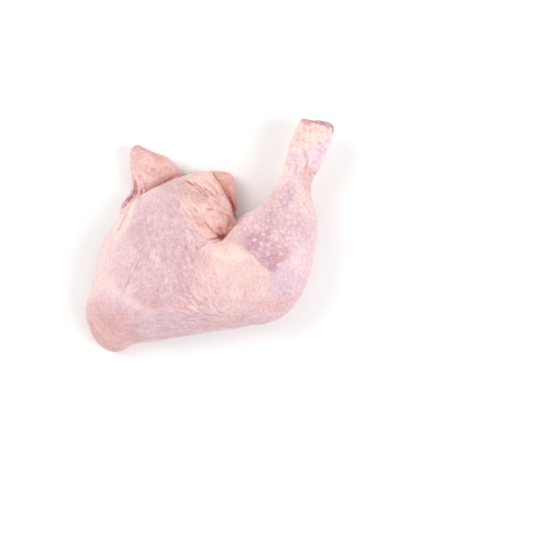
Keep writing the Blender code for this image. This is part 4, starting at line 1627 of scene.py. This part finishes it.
@dataclass
class HockCartilage:
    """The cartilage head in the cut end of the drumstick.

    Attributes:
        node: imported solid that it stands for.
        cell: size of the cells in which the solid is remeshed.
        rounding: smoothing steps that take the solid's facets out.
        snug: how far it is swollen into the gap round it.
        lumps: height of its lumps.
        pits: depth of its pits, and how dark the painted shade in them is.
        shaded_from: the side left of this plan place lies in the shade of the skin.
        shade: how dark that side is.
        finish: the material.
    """

    node: str = "hock_joint"
    cell: float = 0.35
    rounding: int = 10
    snug: float = 0.45
    lumps: float = 0.25
    pits: float = 0.2
    shaded_from: float = 78.0
    shade: float = 0.35
    finish: CartilageFinish = field(default_factory=CartilageFinish)

    def build(self) -> bpy.types.Object:
        """Model, paint and dress the cartilage.

        Returns:
            The finished piece.
        """
        piece = even_copy("hock_cartilage", self.node, self.cell)
        surface = Surface(piece)
        surface.relax(self.rounding)
        surface.lift(np.full(len(surface.places), self.snug))
        pits = ease(grain(surface.places, 2.2, 6.0) * 3.0 - 0.8) * self.pits
        surface.lift(grain(surface.places, 3.0, 8.0) * self.lumps - pits)
        # Painted shade in the pits and on the side that lies in the skin's shade.
        surface.paint(Tint.FOLD_SHADE, pits)
        surface.paint(Tint.FOLD_SHADE, ease((self.shaded_from - surface.places[:, 0]) / 5.0) * self.shade)
        low, high = packed_box(self.node)
        surface.places = surface.places.clip(low - self.snug, high)
        surface.write()
        surface.store_tints()
        dress(piece, self.finish.build())
        return piece


@dataclass
class Sinews:
    """Strands of sinew and fat that lie along the torn edge by the tail.

    Attributes:
        strands: plan path and radius of each.
        proud: share of its radius by which a strand's middle stands above the skin.
        rings: how many rings a strand is made of.
        sides: how many sides each ring has.
        tip: how thick a strand is at its ends, as a share of its middle.
        finish: the material.
    """

    strands: tuple[tuple[Path, float], ...] = (
        (((-50.5, 43), (-50, 38), (-49, 35), (-48.5, 32), (-48.5, 28.5)), 0.75),
        (((-46.5, 38.5), (-46, 35), (-45.5, 32), (-45.5, 29.5)), 0.55),
        (((-57.5, 25), (-60, 22.5), (-61.8, 19.5)), 0.5),
        (((-52, 30), (-53.5, 27), (-57, 22), (-60, 15)), 0.45),
    )
    proud: float = 0.4
    rings: int = 16
    sides: int = 10
    tip: float = 0.35
    finish: SinewFinish = field(default_factory=SinewFinish)

    def build(self, skin: bpy.types.Object) -> bpy.types.Object:
        """Lay the strands on the skin.

        Args:
            skin: the finished skin.

        Returns:
            The finished piece.
        """
        tree = BVHTree.FromPolygons([v.co for v in skin.data.vertices],
                                    [p.vertices for p in skin.data.polygons])
        bm = bmesh.new()
        for path, radius in self.strands:
            self.strand(bm, self.lay(tree, path, radius), radius)
        piece = new_piece("sinews", bm)
        dress(piece, self.finish.build())
        return piece

    def lay(self, tree: BVHTree, path: Path, radius: float) -> np.ndarray:
        """Lay a strand's middle line on the skin.

        Args:
            tree: the skin to lie on.
            path: plan path.
            radius: the strand's radius at its middle.

        Returns:
            The line's places.
        """
        centres = []
        for x, y in smooth_path(path, self.rings):
            hit = tree.ray_cast(Vector((x * MM, y * MM, 0.1)), Vector((0.0, 0.0, -1.0)))[0]
            height = hit.z / MM if hit else 1.0
            centres.append((x, y, height + self.proud * radius))
        centres = np.array(centres)
        centres[:, 2] = np.convolve(np.pad(centres[:, 2], 2, mode="edge"), np.ones(5) / 5, "valid")
        return centres

    def strand(self, bm: bmesh.types.BMesh, centres: np.ndarray, radius: float) -> None:
        """Add one strand, a tapered tube.

        Args:
            bm: mesh that gets the strand.
            centres: places of the tube's middle line.
            radius: its radius at its middle.
        """
        loops = []
        for number, (centre, along) in enumerate(zip(centres, np.gradient(centres, axis=0))):
            share = number / (len(centres) - 1)
            size = radius * (self.tip + (1.0 - self.tip) * math.sin(math.pi * share) ** 0.5)
            made = bmesh.ops.create_circle(bm, segments=self.sides, radius=size * MM)["verts"]
            turn = Vector(along).to_track_quat("Z", "Y")
            bmesh.ops.rotate(bm, verts=made, cent=(0, 0, 0), matrix=turn.to_matrix())
            bmesh.ops.translate(bm, verts=made, vec=Vector(centre) * MM)
            loops.append(made)
        for loop, following in zip(loops, loops[1:]):
            edges = [bm.edges.get((side[i], side[i - 1])) for side in (loop, following)
                     for i in range(self.sides)]
            bmesh.ops.bridge_loops(bm, edges=edges)
        for end in (loops[0], loops[-1]):
            bm.faces.new(end)
        bmesh.ops.recalc_face_normals(bm, faces=bm.faces)


@dataclass(frozen=True)
class Softbox:
    """A large soft lamp that is aimed at the middle of the table.

    Attributes:
        name: its name.
        azimuth: direction that it stands in, in degrees from the right, turning left.
        height: how high it hangs above the horizon, in degrees.
        power: its power in watts.
        distance: its distance, in metres.
        size: length of its sides, in metres.
        colour: colour of its light.
    """

    name: str
    azimuth: float
    height: float
    power: float
    distance: float = 2.2
    size: float = 1.2
    colour: tuple[float, float, float] = (1.0, 0.99, 0.975)

    def hang(self) -> None:
        """Hang the lamp."""
        lamp = bpy.data.lights.new(self.name, "AREA")
        lamp.size = self.size
        lamp.energy = self.power
        lamp.color = self.colour
        turn, rise = math.radians(self.azimuth), math.radians(self.height)
        level = math.cos(rise)
        away = Vector((math.cos(turn) * level, math.sin(turn) * level, math.sin(rise)))
        box = bpy.data.objects.new(self.name, lamp)
        box.location = away * self.distance
        box.rotation_euler = away.to_track_quat("Z", "Y").to_euler()
        bpy.context.scene.collection.objects.link(box)


@dataclass
class Studio:
    """The pale table, the soft light and the camera above.

    Attributes:
        table: length of the table's side, in metres.
        table_gap: how far the table lies below the leg.
        finish: the table's material.
        sky: strength of the even light from all round.
        lamps: the soft lamps.
        view_centre: plan place under the camera.
        view_height: height of the camera, in metres.
        view_width: width of the table that it sees, in metres.
        sensor: width of its sensor.
    """

    table: float = 8.0
    table_gap: float = 0.2
    finish: TableFinish = field(default_factory=TableFinish)
    sky: float = 0.75
    lamps: tuple[Softbox, ...] = (
        Softbox("key", azimuth=345.0, height=40.0, power=20.5),
        Softbox("fill", azimuth=150.0, height=42.0, power=18.5),
    )
    view_centre: tuple[float, float] = (40.05, -21.11)
    view_height: float = 1.0
    view_width: float = 0.3784
    sensor: float = 36.0

    def build(self) -> None:
        """Set the table, the lamps, the sky and the camera up."""
        bm = bmesh.new()
        bmesh.ops.create_grid(bm, x_segments=1, y_segments=1, size=self.table / 2)
        bmesh.ops.translate(bm, verts=bm.verts, vec=(0.0, 0.0, -self.table_gap * MM))
        table = new_piece("table", bm)
        table.data.materials.append(self.finish.build())
        for lamp in self.lamps:
            lamp.hang()
        sky = bpy.data.worlds.new("sky")
        sky.use_nodes = True
        background = sky.node_tree.nodes["Background"]
        background.inputs["Color"].default_value = (1.0, 1.0, 1.0, 1.0)
        background.inputs["Strength"].default_value = self.sky
        bpy.context.scene.world = sky
        bpy.context.scene.view_settings.view_transform = "Standard"
        self.aim_camera()

    def aim_camera(self) -> None:
        """Hang the camera straight above, at the photograph's framing."""
        lens = bpy.data.cameras.new("overhead")
        lens.sensor_width = self.sensor
        lens.lens = self.sensor * self.view_height / self.view_width
        camera = bpy.data.objects.new("overhead", lens)
        camera.location = (self.view_centre[0] * MM, self.view_centre[1] * MM, self.view_height)
        bpy.context.scene.collection.objects.link(camera)
        bpy.context.scene.camera = camera


def main() -> None:
    """Build and dress the whole leg quarter."""
    logging.basicConfig(level=logging.INFO, format="%(message)s")
    Studio().build()
    skin = Skin().build()
    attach(skin, BODY)
    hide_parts("leg_quarter")
    LOG.info("skin: %d vertices, %d faces", len(skin.data.vertices), len(skin.data.polygons))
    cartilage = HockCartilage().build()
    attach(cartilage, BODY)
    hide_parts("hock_joint")
    LOG.info("hock cartilage: %d faces", len(cartilage.data.polygons))
    sinews = Sinews().build(skin)
    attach(sinews, BODY)
    LOG.info("sinews: %d faces", len(sinews.data.polygons))


if __name__ == "__main__":
    main()
